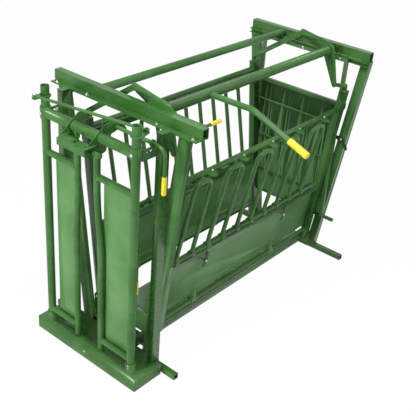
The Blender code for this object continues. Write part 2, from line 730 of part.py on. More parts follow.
def floor_frame():
    low = FOOT + GAP
    height = low + RAIL_TALL / 2
    rail = tube((FRONT_FOOT_X, RAIL_OUT - RAIL_WIDE / 2, height),
                (REAR_FOOT_X + FOOT, RAIL_OUT - RAIL_WIDE / 2, height), RAIL_WIDE, RAIL_TALL, 0.003)
    pieces = both_sides(rail)
    for ear_low, sill in ((FRONT_EAR_X, FRONT_EAR_X + 0.0005 - SILL_DEEP / 2),
                          (REAR_EAR_X, REAR_EAR_X + PLATE - 0.0005 + SILL_DEEP / 2)):
        pieces.append(along((sill, -SILL_HALF, height), (sill, SILL_HALF, height),
                            channel(SILL_DEEP, RAIL_TALL - 0.012, 0.005)))
        ear = [(RAIL_OUT - 0.025, low + 0.008), (PIVOT_OUT + 0.026, low + 0.008),
               (PIVOT_OUT + 0.034, PIVOT_Z), (PIVOT_OUT + 0.016, PIVOT_Z + 0.032),
               (PIVOT_OUT - 0.016, PIVOT_Z + 0.032), (PIVOT_OUT - 0.034, PIVOT_Z),
               (RAIL_OUT - 0.025, low + RAIL_TALL)]
        hole = circle(clear(PIVOT_PIN, 12) / 2, PIVOT_OUT, PIVOT_Z)
        pieces += both_sides(plate("yz", ear, ear_low, ear_low + PLATE, [hole]))
    return join(pieces)


def floor_plate():
    low = FOOT + GAP + RAIL_TALL + GAP
    half = RAIL_OUT - 0.003
    front, rear = FRONT_EAR_X + PLATE + 0.002, REAR_EAR_X - 0.002
    deck = block((front, -half, low), (rear, half, low + 0.005))
    count = 6
    pitch = (rear - front) / count
    cleats = [along((front + pitch * (i + 0.5), -half + 0.02, low + 0.013),
                    (front + pitch * (i + 0.5), half - 0.02, low + 0.013), channel(0.030, 0.018, 0.004))
              for i in range(count)]
    return join([deck, *cleats])


def front_bearing():
    """The bearing plate on the front beam, with the peg that carries the lock lever."""
    outline = softened([(-SHAFT_OUT - 0.122, 1.935), (-SHAFT_OUT + 0.118, 1.935),
                        (-SHAFT_OUT + 0.118, 2.010), (-SHAFT_OUT + 0.060, 2.062),
                        (-SHAFT_OUT - 0.060, 2.062), (-SHAFT_OUT - 0.122, 2.010)], 0.03)
    base = plate("yz", outline, BEARING_X, BEARING_X + PLATE,
                 [circle(clear(STUB_OD, 12) / 2, -SHAFT_OUT, SHAFT_Z)])
    peg = rod((BEARING_X + 0.004, -LOCK_OUT, LOCK_Z), (BEARING_X + 0.046, -LOCK_OUT, LOCK_Z), LOCK_PIN)
    return join([base, peg])


def rear_bearing():
    rear_face = REAR_BEAM_X - GAP
    boss = rod((rear_face - 0.022, -SHAFT_OUT, SHAFT_Z), (rear_face, -SHAFT_OUT, SHAFT_Z),
               STUB_OD + 0.018, 14)
    bore = rod((rear_face - 0.03, -SHAFT_OUT, SHAFT_Z), (rear_face + 0.01, -SHAFT_OUT, SHAFT_Z),
               clear(STUB_OD, 12), 12)
    return join([boss], [bore])


def squeeze_shaft():
    """The shaft and its two welded cranks, each with a long arm towards either panel."""
    def at(x):
        return x, -SHAFT_OUT, SHAFT_Z
    pieces = [rod(at(SHAFT_FRONT), at(SHAFT_REAR), SHAFT_OD, 16),
              rod(at(SHAFT_REAR - 0.052), at(SHAFT_REAR - 0.034), SHAFT_OD + 0.012, 16),
              rod(at(BEARING_X + 0.001), at(REAR_BEAM_X - 0.004), STUB_OD, 12)]
    for low in (CRANK_FRONT_X, CRANK_REAR_X):
        for pin, wide, narrow in ((FAR_ARM_PIN, 0.062, 0.026), (NEAR_ARM_PIN, 0.058, 0.022)):
            pieces.append(plate("yz", strap((-SHAFT_OUT, SHAFT_Z), pin, wide, narrow), low, low + PLATE))
            pieces.append(rod((low + 0.002, *pin), (low + 2 * PLATE + 0.0025, *pin), LINK_PIN))
    hollow = rod(at(SHAFT_FRONT + 0.006), at(SHAFT_REAR - 0.006), SHAFT_OD - 2 * SHAFT_WALL, 12)
    vent = rod(at(BEARING_X - 0.01), at(REAR_BEAM_X + 0.01), STUB_OD - 0.010, 8)
    return join(pieces, [hollow, vent])


def link(arm_pin, panel_pin, width, crank):
    """A flat link beside a crank: an eye on the arm's pin, and a bolt head over the panel's lug."""
    low = crank + PLATE + LINK_SPACE
    bar = plate("yz", strap(arm_pin, panel_pin, width / 2, LINK_EYE), low, low + PLATE,
                [circle(clear(LINK_PIN, 12) / 2, *arm_pin)])
    head = rod((low - 0.007, *panel_pin), (low + 0.001, *panel_pin), 0.024, 6)
    return join([bar, head])


def squeeze_lever():
    start = Vector((LEVER_X, -(SHAFT_OUT + SHAFT_OD / 2 + GAP), SHAFT_Z + 0.004))
    knee = Vector((LEVER_X, -LEVER_KNEE, SHAFT_Z + 0.009))
    way = Vector((0, -math.cos(LEVER_DROP), -math.sin(LEVER_DROP)))
    end = knee + way * LEVER_ARM
    lever = bent([start, knee, end - way * GRIP_WALL], LEVER_OD, 0.12, 3, 4)
    return lever, grip_cup(end, end - way * LEVER_GRIP, LEVER_OD)


def lock_lever():
    """The short lever beside the front bearing, on a peg of its plate."""
    hub_low, hub_high = BEARING_X + PLATE + GAP, BEARING_X + 0.040
    hub = rod((hub_low, -LOCK_OUT, LOCK_Z), (hub_high, -LOCK_OUT, LOCK_Z), LOCK_PIN + 0.016, 14)
    middle = (hub_low + hub_high) / 2
    arm = bent([(middle, -LOCK_OUT - 0.005, LOCK_Z), (middle, -LOCK_REACH, LOCK_Z),
                (LOCK_END - GRIP_WALL, -LOCK_REACH, LOCK_Z)], LOCK_OD, 0.030, 2)
    nose = plate("yz", strap((-LOCK_OUT, LOCK_Z), (-SHAFT_OUT - SHAFT_OD / 2 - 0.016, LOCK_Z - 0.004),
                             0.014, 0.010), middle - 0.005, middle + 0.005)
    bore = rod((hub_low - 0.01, -LOCK_OUT, LOCK_Z), (hub_high + 0.01, -LOCK_OUT, LOCK_Z),
               clear(LOCK_PIN, 10), 10)
    grip = grip_cup((LOCK_END, -LOCK_REACH, LOCK_Z), (LOCK_END - 0.105, -LOCK_REACH, LOCK_Z), LOCK_OD)
    return join([hub, arm, nose], [bore]), grip


def stood(made, side):
    """Puts a piece drawn in the panel's own plane (x, outward, height) at the panel's lean."""
    lean = Matrix.Translation((0, PIVOT_OUT, PIVOT_Z)) @ Matrix.Rotation(-PANEL_TILT, 4, "X")
    return on_side(moved(made, lean), side)


def in_panel(side, outward, height):
    """World y and z of a point in a panel's own plane."""
    y = PIVOT_OUT + outward * math.cos(PANEL_TILT) + height * math.sin(PANEL_TILT)
    z = PIVOT_Z - outward * math.sin(PANEL_TILT) + height * math.cos(PANEL_TILT)
    return (-y if side == "near" else y), z


def panel_frame(side):
    half = POST_D / 2
    front, rear = PANEL_FRONT + POST_X / 2, PANEL_REAR - POST_X / 2
    inner_front, inner_rear = PANEL_FRONT + POST_X, PANEL_REAR - POST_X
    pieces = []
    for x in (front, rear):
        pieces.append(tube((x, 0, POST_BOTTOM), (x, 0, POST_TOP), POST_X, POST_D, 0.004, AXIS_Y))
        pieces.append(block((x - POST_X / 2 - 0.001, -half - 0.001, POST_TOP - 0.0005),
                            (x + POST_X / 2 + 0.001, half + 0.001, POST_TOP + 0.0045)))
    pieces.append(block((PANEL_FRONT + 0.001, half - 0.001, TOP_RAIL[0]),
                        (PANEL_REAR - 0.001, half + TOP_RAIL_THICK, TOP_RAIL[1])))
    for crank in (CRANK_FRONT_X, CRANK_REAR_X):
        low = crank + 2 * PLATE + 2 * LINK_SPACE
        lug = [(-0.026, POST_TOP + 0.004), (0.026, POST_TOP + 0.004), (0.017, LUG_H + 0.010),
               (0.008, LUG_H + 0.018), (-0.008, LUG_H + 0.018), (-0.017, LUG_H + 0.010)]
        pieces.append(plate("yz", lug, low, low + PLATE))
        pieces.append(rod((low + 0.002, 0, LUG_H), (low + PLATE + 0.008, 0, LUG_H), 0.024, 6))
    reach = (inner_front - 0.010, inner_rear + 0.010)
    mid = (MID_RAIL[0] + MID_RAIL[1]) / 2
    mid_ends = [(x, 0, mid) for x in reach]
    mid_tall = MID_RAIL[1] - MID_RAIL[0]
    pieces.append(along(*mid_ends, centred(MID_RAIL_DEEP, mid_tall)))
    cuts = [along(*mid_ends, centred(MID_RAIL_DEEP - 0.006, mid_tall - 0.006))]
    for height, diameter in [(LOW_PIPE_H, LOW_PIPE_OD)] + [(FAR_PIPE_H, FAR_PIPE_OD)] * (side == "far"):
        ends = [(x, 0, height) for x in reach]
        pieces.append(rod(*ends, diameter, 12))
        cuts.append(rod(*ends, diameter - 0.0065, 8))
    pieces.append(pipe((HINGE_PIPE_FROM, HINGE_PIPE_D, HINGE_PIPE_H),
                       (HINGE_PIPE_TO[side], HINGE_PIPE_D, HINGE_PIPE_H), HINGE_PIPE_OD, 0.003,
                       12))
    saddles = [bar_leg(side, i) + BAR_PITCH / 2 for i in (1, 5, 9)] + [bar_leg(side, 0) - 0.040]
    for x in saddles:
        pieces.append(block((x - 0.012, -0.006, MID_RAIL[1] - 0.001),
                            (x + 0.012, 0.020, HINGE_PIPE_H - HINGE_PIPE_OD / 2 + 0.003)))
    face = half + TOP_RAIL_THICK - 0.0005
    for i in range(1, 2 * BAR_COUNT, 2):
        x, shelf = bar_leg(side, i), TOP_RAIL[0] + 0.012
        pieces.append(plate("xz", bar_latch(x), face, face + 0.0065))
        reach = [(x - 0.034, face), (x + 0.040, face), (x + 0.034, face + 0.052),
                 (x + 0.010, face + 0.062), (x - 0.018, face + 0.058), (x - 0.034, face + 0.036)]
        pieces.append(plate("xy", softened(reach, 0.010, 1), shelf, shelf + 0.006))
    for face, way in ((PANEL_FRONT, -1), (PANEL_REAR, 1)):
        pieces.append(rod((face - way * 0.002, 0, 0), (face + way * 0.024, 0, 0), PIVOT_PIN, 12))
    return stood(join(pieces, cuts), side)


def bar_leg(side, i):
    return BAR_FIRST[side] + BAR_PITCH * i


def bar_latch(x):
    """The outline of the latch plate on the top rail, above the rear leg of a drop bar."""
    low = TOP_RAIL[0]
    return softened([(x - 0.034, low - 0.012), (x + 0.046, low + 0.004), (x + 0.046, low + 0.026),
                     (x + 0.002, low + 0.030), (x - 0.034, low + 0.012)], 0.010, 1)


def drop_bar(number, side):
    """A hoop that leans out past the top rail, its two legs ending in knuckles round the hinge pipe."""
    left, right = bar_leg(side, 2 * number), bar_leg(side, 2 * number + 1)

    def at(x, up):
        return x, HINGE_PIPE_D + up * math.sin(BAR_LEAN), HINGE_PIPE_H + up * math.cos(BAR_LEAN)
    hoop = bent([at(left, 0.008), at(left, BAR_LONG), at(right, BAR_LONG), at(right, 0.008)], BAR_OD,
                BAR_CORNER, 2, 3)
    sleeves = [rod((x - KNUCKLE_LONG / 2, HINGE_PIPE_D, HINGE_PIPE_H),
                   (x + KNUCKLE_LONG / 2, HINGE_PIPE_D, HINGE_PIPE_H), KNUCKLE_OD, 10)
               for x in (left, right)]
    bore = rod((left - 0.05, HINGE_PIPE_D, HINGE_PIPE_H), (right + 0.05, HINGE_PIPE_D, HINGE_PIPE_H),
               clear(HINGE_PIPE_OD, 10), 10)
    return stood(join([hoop, *sleeves], [bore]), side)


def kick_panel(side):
    """A sheet between the posts, rolled in along its foot, on two hinge straps round the low pipe."""
    front, rear = PANEL_FRONT + POST_X + 0.006, PANEL_REAR - POST_X - 0.006
    line = [(KICK_D + 0.012, KICK_TOP_H), (KICK_D, KICK_TOP_H), (KICK_D, KICK_TOP_H - 0.012),
            (KICK_D, LOW_PIPE_H + 0.110), (KICK_D + 0.003, LOW_PIPE_H + 0.075),
            (KICK_D + 0.002, LOW_PIPE_H + 0.040), (KICK_D - 0.004, LOW_PIPE_H + 0.020)]
    pieces = [along((front, 0, 0), (rear, 0, 0), ribbon(line, SHEET))]
    cuts = []
    for x in KICK_HINGES:
        pieces.append(rod((x - 0.032, 0, LOW_PIPE_H), (x + 0.032, 0, LOW_PIPE_H), LOW_PIPE_OD + 0.011,
                          12))
        strap_line = [(KICK_D - 0.001, LOW_PIPE_H + 0.095), (KICK_D + 0.006, LOW_PIPE_H + 0.095),
                      (0.022, LOW_PIPE_H + 0.006), (0.0, LOW_PIPE_H - 0.004),
                      (KICK_D - 0.002, LOW_PIPE_H + 0.030)]
        pieces.append(plate("yz", strap_line, x - 0.022, x + 0.022))
        cuts.append(rod((x - 0.05, 0, LOW_PIPE_H), (x + 0.05, 0, LOW_PIPE_H), clear(LOW_PIPE_OD, 12), 12))
    for x in KICK_CATCHES:
        pieces.append(rod((x, KICK_D, CATCH_H), (x, CATCH_D + 0.0065, CATCH_H), CATCH_PIN, 10))
    return stood(join(pieces, cuts), side)


def kick_catch(x, side):
    """A turn catch on a bolt of the kick panel; its tip laps the mid rail's outer face."""
    outline = strap((x, CATCH_H), (x + 0.004, MID_RAIL[0] + 0.018), 0.016, 0.009)
    body = plate("xz", outline, CATCH_D, CATCH_D + 0.006, [circle(clear(CATCH_PIN, 10) / 2, x, CATCH_H, 10)])
    tail = plate("xz", strap((x - 0.006, CATCH_H - 0.018), (x - 0.020, CATCH_H - 0.044), 0.009, 0.007, 3),
                 CATCH_D + 0.001, CATCH_D + 0.005)
    return stood(join([body, tail]), side)


def ribbon(line, thickness):
    """The outline of a strip of that thickness along a line."""
    points = [Vector(p) for p in line]
    sides = ([], [])
    for i, point in enumerate(points):
        into = (point - points[max(i - 1, 0)]) if i else points[1] - point
        away = (points[i + 1] - point) if i < len(points) - 1 else into
        normal = (into.normalized() + away.normalized()).normalized()
        across = Vector((-normal.y, normal.x))
        stretch = thickness / 2 / max(0.4, across.dot(Vector((-into.normalized().y,
                                                              into.normalized().x))))
        sides[0].append(tuple(point + across * stretch))
        sides[1].append(tuple(point - across * stretch))
    return sides[0] + sides[1][::-1]


def tail_gate():
    """A sliding gate: square tube frame, corrugated sheet, stiffeners and its two rollers."""
    middle = GATE_X + GATE_TUBE / 2
    out = GATE_HALF - GATE_TUBE / 2
    head = GATE_HEAD_TOP - GATE_TUBE / 2
    inside = GATE_HALF - GATE_TUBE
    pieces = [tube((middle, -GATE_HALF, head), (middle, GATE_HALF, head), GATE_TUBE, GATE_TUBE, 0.003)]
    post = tube((middle, out, GATE_LOW), (middle, out, head - GATE_TUBE / 2 + 0.0005), GATE_TUBE,
                GATE_TUBE, 0.003, AXIS_Y)
    pieces += both_sides(post)
    cuts = []
    for z in (GATE_LOW + GATE_TUBE / 2, GATE_SHEET_TOP - GATE_TUBE / 2):
        ends = ((middle, -inside - 0.008, z), (middle, inside + 0.008, z))
        pieces.append(along(*ends, centred(GATE_TUBE - 0.002, GATE_TUBE)))
        cuts.append(along(*ends, centred(GATE_TUBE - 0.008, GATE_TUBE - 0.006)))
    pitch = 2 * inside / GATE_WAVES
    line = [(GATE_WAVE, -inside - 0.001)]
    for i in range(GATE_WAVES):
        start = -inside + pitch * i
        line += [(GATE_WAVE, start + pitch * 0.30), (-GATE_WAVE, start + pitch * 0.40),
                 (-GATE_WAVE, start + pitch * 0.60), (GATE_WAVE, start + pitch * 0.70)]
    line.append((GATE_WAVE, inside + 0.001))
    pieces.append(along((middle, 0, GATE_LOW + GATE_TUBE - 0.001),
                        (middle, 0, GATE_SHEET_TOP - GATE_TUBE + 0.001), ribbon(line, 0.002), (),
                        AXIS_Y))
    for z in GATE_STIFFENERS:
        pieces.append(block((GATE_X, -inside - 0.002, z - 0.007),
                            (middle - GATE_WAVE - 0.0015, inside + 0.002, z + 0.007)))
    for y in GATE_ROLLERS:
        height = (TRACK_LOW + TRACK_HIGH) / 2
        face = GATE_X + GATE_TUBE
        pieces.append(rod((face - 0.001, y, height), (face + 0.020, y, height), 0.012))
        pieces.append(rod((TRACK_X + 0.005, y, height), (TRACK_X + TRACK_DEEP - 0.005, y, height),
                          TRACK_HIGH - TRACK_LOW - 0.006 - 2 * GAP, 16))
    pieces.append(rod((GATE_X + GATE_TUBE - 0.001, -out, HOOK_Z - 0.03),
                      (HOOK_X - 0.003, -out, HOOK_Z - 0.03), 0.014))
    return join(pieces, cuts)


def gate_track():
    """A C section that the gate's rollers run in; its slot faces the crush."""
    d, h, lip, wall = TRACK_DEEP / 2, (TRACK_HIGH - TRACK_LOW) / 2, 0.008, 0.003
    section = [(-d, -h), (d, -h), (d, -h + lip), (d - wall, -h + lip), (d - wall, -h + wall),
               (-d + wall, -h + wall), (-d + wall, h - wall), (d - wall, h - wall), (d - wall, h - lip),
               (d, h - lip), (d, h), (-d, h)]
    middle, height = TRACK_X + d, (TRACK_LOW + TRACK_HIGH) / 2
    return along((middle, -TRACK_HALF, height), (middle, TRACK_HALF, height), section)


def gate_hook():
    points = [(HOOK_OUT - 0.072, HOOK_Z - 0.004), (HOOK_OUT - 0.072, HOOK_Z + 0.018),
              (HOOK_OUT + 0.010, HOOK_Z + 0.026), (HOOK_OUT + 0.072, HOOK_Z - 0.066),
              (HOOK_OUT + 0.070, HOOK_Z - 0.090), (HOOK_OUT + 0.050, HOOK_Z - 0.080),
              (HOOK_OUT, HOOK_Z - 0.020), (HOOK_OUT - 0.050, HOOK_Z - 0.012)]
    return on_side(plate("yz", softened(points, 0.008, 2), HOOK_X - 0.0005, HOOK_X + 0.0055,
                         [circle(clear(HOOK_PIN, 12) / 2, HOOK_OUT, HOOK_Z)]), "near")


def build():
    node("base_tray", foot_tray(), green)
    node("head_post_near", head_post("near"), green)
    node("head_post_far", head_post("far"), green)
    node("head_cross_pipe", cross_pipe(), green)
    node("latch_housing", latch_housing(), green)
    node("front_beam", beam(FRONT_BEAM_X, FRONT_BEAM_HALF), green)
    node("front_bolting_flat", bolting_flat(), green)
    node("rear_beam", beam(REAR_BEAM_X, REAR_BEAM_HALF), green)
    node("gate_track", gate_track(), green)
    for side in ("near", "far"):
        base = FOOT + GAP + PLATE
        node(f"front_upright_{side}", upright(FRONT_UPRIGHT_X, base, side, True), green)
        node(f"rear_upright_{side}", upright(REAR_BEAM_X, FOOT + GAP, side), green)
    node("front_foot", foot_tube(FRONT_FOOT_X), green)
    node("rear_foot", foot_tube(REAR_FOOT_X), green)
    node("floor_frame", floor_frame(), green)
    node("floor_plate", floor_plate(), green)
    tie_from, tie_to = FRONT_BEAM_X + BEAM_DEEP + GAP, REAR_BEAM_X - GAP
    node("tie_pipe", pipe((tie_from, TIE_OUT, TIE_Z), (tie_to, TIE_OUT, TIE_Z), TIE_OD, 0.004, 14), green)
    node("shaft_bearing_front", front_bearing(), green)
    node("shaft_bearing_rear", rear_bearing(), green)

    doors = {}
    for side, way in (("near", -1), ("far", 1)):
        doors[side] = axis_empty(f"{side}_door_hinge", (HINGE_X, way * HINGE_OUT, 0))
        node(f"{side}_door_frame", door_frame(side), green, doors[side])
        node(f"{side}_door_pan", door_pan(side), pan_green, doors[side])
    sync = axis_empty("sync_rod_pivot", (HINGE_X + CRANK_RADIUS, -HINGE_OUT, CRANK_Z), doors["near"])
    node("sync_rod", sync_rod(), green, sync)
    prop = axis_empty("prop_rod_pivot", (PROP_X, -HINGE_OUT, PROP_Z), doors["near"])
    stem, grip = prop_rod()
    node("prop_rod", stem, green, prop)
    node("prop_rod_grip", grip, yellow, prop)
    node("catch_pawl", catch_pawl(), green, axis_empty("catch_pawl_axis", (PAWL_X, 0, PAWL_Z)))
    release = axis_empty("release_axis", (RELEASE_X, 0, RELEASE_Z))
    handle, grip = release_handle()
    node("release_handle", handle, green, release)
    node("release_grip", grip, yellow, release)

    squeeze = axis_empty("squeeze_axis", (0, -SHAFT_OUT, SHAFT_Z))
    node("squeeze_shaft", squeeze_shaft(), green, squeeze)
    lever, grip = squeeze_lever()
    node("squeeze_lever", lever, green, squeeze)
    node("squeeze_grip", grip, yellow, squeeze)
    for side, pin, width in (("near", NEAR_ARM_PIN, 0.030), ("far", FAR_ARM_PIN, 0.042)):
        hung = axis_empty(f"{side}_link_pin", (0, *pin), squeeze)
        for place, crank in (("front", CRANK_FRONT_X), ("rear", CRANK_REAR_X)):
            node(f"{side}_link_{place}", link(pin, in_panel(side, 0, LUG_H), width, crank), green, hung)
    lever, grip = lock_lever()
    lock = axis_empty("lock_axis", (0, -LOCK_OUT, LOCK_Z))
    node("lock_lever", lever, green, lock)
    node("lock_grip", grip, yellow, lock)

    for side in ("near", "far"):
        panel = axis_empty(f"{side}_panel_pivot", (0, *in_panel(side, 0, 0)))
        node(f"{side}_panel_frame", panel_frame(side), green, panel)
        bars = axis_empty(f"{side}_bar_hinge", (0, *in_panel(side, HINGE_PIPE_D, HINGE_PIPE_H)), panel)
        for i in range(BAR_COUNT):
            node(f"{side}_drop_bar_{i + 1}", drop_bar(i, side), green, bars)
        kick = axis_empty(f"{side}_kick_hinge", (0, *in_panel(side, 0, LOW_PIPE_H)), panel)
        node(f"{side}_kick_panel", kick_panel(side), pan_green, kick)
        for place, x in zip(("front", "rear"), KICK_CATCHES):
            turn = axis_empty(f"{side}_{place}_catch_bolt", (x, *in_panel(side, CATCH_D, CATCH_H)), kick)
            node(f"{side}_catch_{place}", kick_catch(x, side), dark_steel, turn)

    node("tail_gate", tail_gate(), green, axis_empty("gate_slide", (GATE_X, 0, GATE_LOW)))
    node("gate_hook", gate_hook(), dark_steel, axis_empty("hook_bolt", (HOOK_X, -HOOK_OUT, HOOK_Z)))


def stand_on_origin():
    """Moves the whole crush so that the middle of its base is the world's origin."""
    bpy.context.view_layer.update()
    corners = [obj.matrix_world @ Vector(corner) for obj in crush.objects if obj.type == "MESH"
               for corner in obj.bound_box]
    low = [min(corner[i] for corner in corners) for i in range(3)]
    high = [max(corner[i] for corner in corners) for i in range(3)]
    root.location = (-(low[0] + high[0]) / 2, -(low[1] + high[1]) / 2, -low[2])
    print("root moved to", [round(v, 6) for v in root.location])


build()
stand_on_origin()
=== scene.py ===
import json
import math

import bmesh
import bpy
from mathutils import Matrix, Vector


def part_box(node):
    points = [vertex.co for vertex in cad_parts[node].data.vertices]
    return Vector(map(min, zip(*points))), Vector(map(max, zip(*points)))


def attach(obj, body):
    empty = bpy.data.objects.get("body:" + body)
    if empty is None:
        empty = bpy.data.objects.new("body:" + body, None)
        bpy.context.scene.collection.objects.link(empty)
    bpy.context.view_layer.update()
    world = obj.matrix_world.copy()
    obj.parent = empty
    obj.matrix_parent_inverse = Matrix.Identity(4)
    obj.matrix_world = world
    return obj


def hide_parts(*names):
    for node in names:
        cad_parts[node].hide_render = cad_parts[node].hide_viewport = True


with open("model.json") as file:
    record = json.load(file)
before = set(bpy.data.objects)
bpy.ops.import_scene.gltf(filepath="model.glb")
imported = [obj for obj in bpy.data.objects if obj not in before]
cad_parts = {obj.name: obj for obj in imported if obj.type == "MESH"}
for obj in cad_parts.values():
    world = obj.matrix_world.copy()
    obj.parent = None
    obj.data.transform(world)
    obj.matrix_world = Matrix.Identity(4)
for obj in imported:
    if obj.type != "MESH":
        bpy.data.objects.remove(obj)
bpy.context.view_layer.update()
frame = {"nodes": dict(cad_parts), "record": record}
trayLow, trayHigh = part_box("base_tray")
home = Vector((trayLow.x, (trayLow.y + trayHigh.y) / 2, 0))
print("frame loaded:", len(frame["nodes"]), "solids")


# Finishes

class Wire:  # one socket of a shader tree, so that sums on it add Math nodes
    def __init__(self, finish, socket):
        self.finish = finish
        self.socket = socket

    def __add__(self, other):
        return self.finish.node("Math", {"operation": "ADD"}, {0: self, 1: other})

    __radd__ = __add__

    def __mul__(self, other):
        return self.finish.node("Math", {"operation": "MULTIPLY"}, {0: self, 1: other})

    __rmul__ = __mul__

    def __sub__(self, other):
        return self.finish.node("Math", {"operation": "SUBTRACT"}, {0: self, 1: other})

    def __rsub__(self, other):
        return self.finish.node("Math", {"operation": "SUBTRACT"}, {0: other, 1: self})


class Finish:  # a material while it is being wired
    def __init__(self, name):
        self.material = bpy.data.materials.new(name)
        self.material.use_nodes = True
        self.tree = self.material.node_tree
        self.shader = self.tree.nodes["Principled BSDF"]

    def feed(self, socket, value):
        if isinstance(value, Wire):
            self.tree.links.new(value.socket, socket)
        elif socket.type == "RGBA" and len(value) == 3:
            socket.default_value = (*value, 1)
        else:
            socket.default_value = value

    def node(self, kind, settings, sockets, out=0):
        made = self.tree.nodes.new("ShaderNode" + kind)
        for name, value in settings.items():
            setattr(made, name, value)
        for name, value in sockets.items():
            self.feed(made.inputs[name], value)
        return Wire(self, made.outputs[out])

    def surface(self, **looks):
        for name, value in looks.items():
            self.feed(self.shader.inputs[name.replace("_", " ")], value)

    def place(self):
        return self.node("TexCoord", {}, {}, "Object")

    def noise(self, scale, detail=3.0, roughness=0.5):
        return self.node("TexNoise", {}, {"Vector": self.place(), "Scale": scale, "Detail": detail,
                                          "Roughness": roughness})

    def between(self, value, low, high, to=(0.0, 1.0)):
        return self.node("MapRange", {"interpolation_type": "SMOOTHSTEP"},
                         {"Value": value, "From Min": low, "From Max": high, "To Min": to[0],
                          "To Max": to[1]})

    def blend(self, mask, first, second, mode="MIX"):
        return self.node("Mix", {"data_type": "RGBA", "blend_type": mode}, {0: mask, 6: first, 7: second}, 2)

    def bump(self, height, strength, distance, normal=None):
        sockets = {"Height": height, "Strength": strength, "Distance": distance}
        if normal:
            sockets["Normal"] = normal
        return self.node("Bump", {}, sockets)


# the edge colour of each look is a painted highlight: a lighter colour laid on rounded edges
enamelLooks = {
    "greenEnamel": {"dark": (0.040, 0.142, 0.026), "light": (0.070, 0.200, 0.048),
                    "edge": (0.16, 0.36, 0.13), "rough": 0.24, "coat": 0.22, "round": 0.0024},
    "panGreen": {"dark": (0.092, 0.240, 0.070), "light": (0.136, 0.305, 0.106),
                 "edge": (0.22, 0.42, 0.19), "rough": 0.34, "coat": 0.12, "round": 0.0015},
    # gateGreen is a lighter copy of the green enamel, painted light for where the key light falls on the tail
    # gate
    "gateGreen": {"dark": (0.080, 0.195, 0.062), "light": (0.118, 0.250, 0.095),
                  "edge": (0.13, 0.28, 0.11), "rough": 0.40, "coat": 0.10, "round": 0.0060},
    "catchGreen": {"dark": (0.014, 0.048, 0.012), "light": (0.034, 0.092, 0.028),
                   "edge": (0.16, 0.17, 0.13), "rough": 0.40, "coat": 0.1, "round": 0.0010},
}


# edge sets the strength of the painted edge highlight; dust is real dust low down
enamelDustAndHighlight = {"edge": 0.22, "dust": 0.05, "dustTop": 0.34, "dustTint": (0.21, 0.20, 0.13), "specular": 0.16,
              "coatRough": 0.10, "peel": 0.12}


def enamel(name, look):
    # sprayed enamel: uneven cover, orange peel, a painted highlight on its rounded edges and dusty low down
    finish = Finish(name)
    cloud = finish.between(finish.noise(3.2, 5.0, 0.6), 0.34, 0.66)
    speck = finish.noise(34.0, 6.0, 0.68)
    peel = finish.noise(340.0, 2.0)
    rounded = finish.node("Bevel", {"samples": 4}, {"Radius": look["round"]})
    facing = finish.node("NewGeometry", {}, {}, "Normal")
    turn = finish.node("VectorMath", {"operation": "DOT_PRODUCT"}, {0: rounded, 1: facing}, "Value")
    # painted highlight: a mask of the rounded edges, broken up by noise, that lightens the colour there
    edge = finish.between(1.0 - turn, 0.02, 0.22)
    paintedEdgeHighlight = edge * finish.between(speck, 0.44, 0.60)
    height = finish.node("SeparateXYZ", {}, {0: finish.place()}, "Z")
    low = 1.0 - finish.between(height, 0.0, enamelDustAndHighlight["dustTop"])
    dust = low * finish.between(speck, 0.42, 0.66) * enamelDustAndHighlight["dust"]
    colour = finish.blend(cloud, look["dark"], look["light"])
    # lays the painted highlight on the edges
    colour = finish.blend(paintedEdgeHighlight * enamelDustAndHighlight["edge"], colour, look["edge"])
    colour = finish.blend(dust, colour, enamelDustAndHighlight["dustTint"])
    finish.surface(Base_Color=colour,
                   Roughness=look["rough"] + cloud * 0.06 + (speck - 0.5) * 0.08 + dust * 0.6,
                   Coat_Weight=look["coat"], Coat_Roughness=enamelDustAndHighlight["coatRough"],
                   Specular_IOR_Level=enamelDustAndHighlight["specular"],
                   Normal=finish.bump(peel * 0.5 + speck * 0.5, enamelDustAndHighlight["peel"], 0.0005, rounded))
    return finish.material


def vinyl():  # dipped grip: soft gloss, faint runs and a little grey from hands
    finish = Finish("yellowVinyl")
    cloud = finish.noise(28.0, 4.0, 0.6)
    smear = finish.between(finish.noise(55.0, 5.0, 0.7), 0.52, 0.74)
    colour = finish.blend(finish.between(cloud, 0.35, 0.65), (0.88, 0.70, 0.012), (0.97, 0.82, 0.035))
    colour = finish.blend(smear * 0.16, colour, (0.33, 0.27, 0.10))
    finish.surface(Base_Color=colour, Roughness=0.34 + smear * 0.16, Coat_Weight=0.15, IOR=1.46,
                   Normal=finish.bump(cloud, 0.25, 0.0012))
    return finish.material


def platedSteel(name, tint, dull, rough, rust):
    finish = Finish(name)
    grain = finish.noise(150.0, 4.0, 0.6)
    stain = finish.between(finish.noise(46.0, 6.0, 0.7), 0.5 - rust * 0.3, 0.72 - rust * 0.25)
    colour = finish.blend(stain, tint, dull)
    finish.surface(Base_Color=colour, Metallic=0.95 - stain * (0.35 + rust * 0.5),
                   Roughness=rough + stain * 0.25 + (grain - 0.5) * 0.15,
                   Normal=finish.bump(grain, 0.18, 0.0005))
    return finish.material


finishes = {name: enamel(name, look) for name, look in enamelLooks.items()}
finishes["yellowVinyl"] = vinyl()
finishes["zinc"] = platedSteel("zinc", (0.82, 0.83, 0.80), (0.52, 0.51, 0.44), 0.24, 0.0)
finishOf = {"green_enamel": "greenEnamel", "pan_green": "panGreen", "dark_steel": "catchGreen",
            "yellow_vinyl": "yellowVinyl"}
print("finishes wired:", ", ".join(finishes))


# Shapes

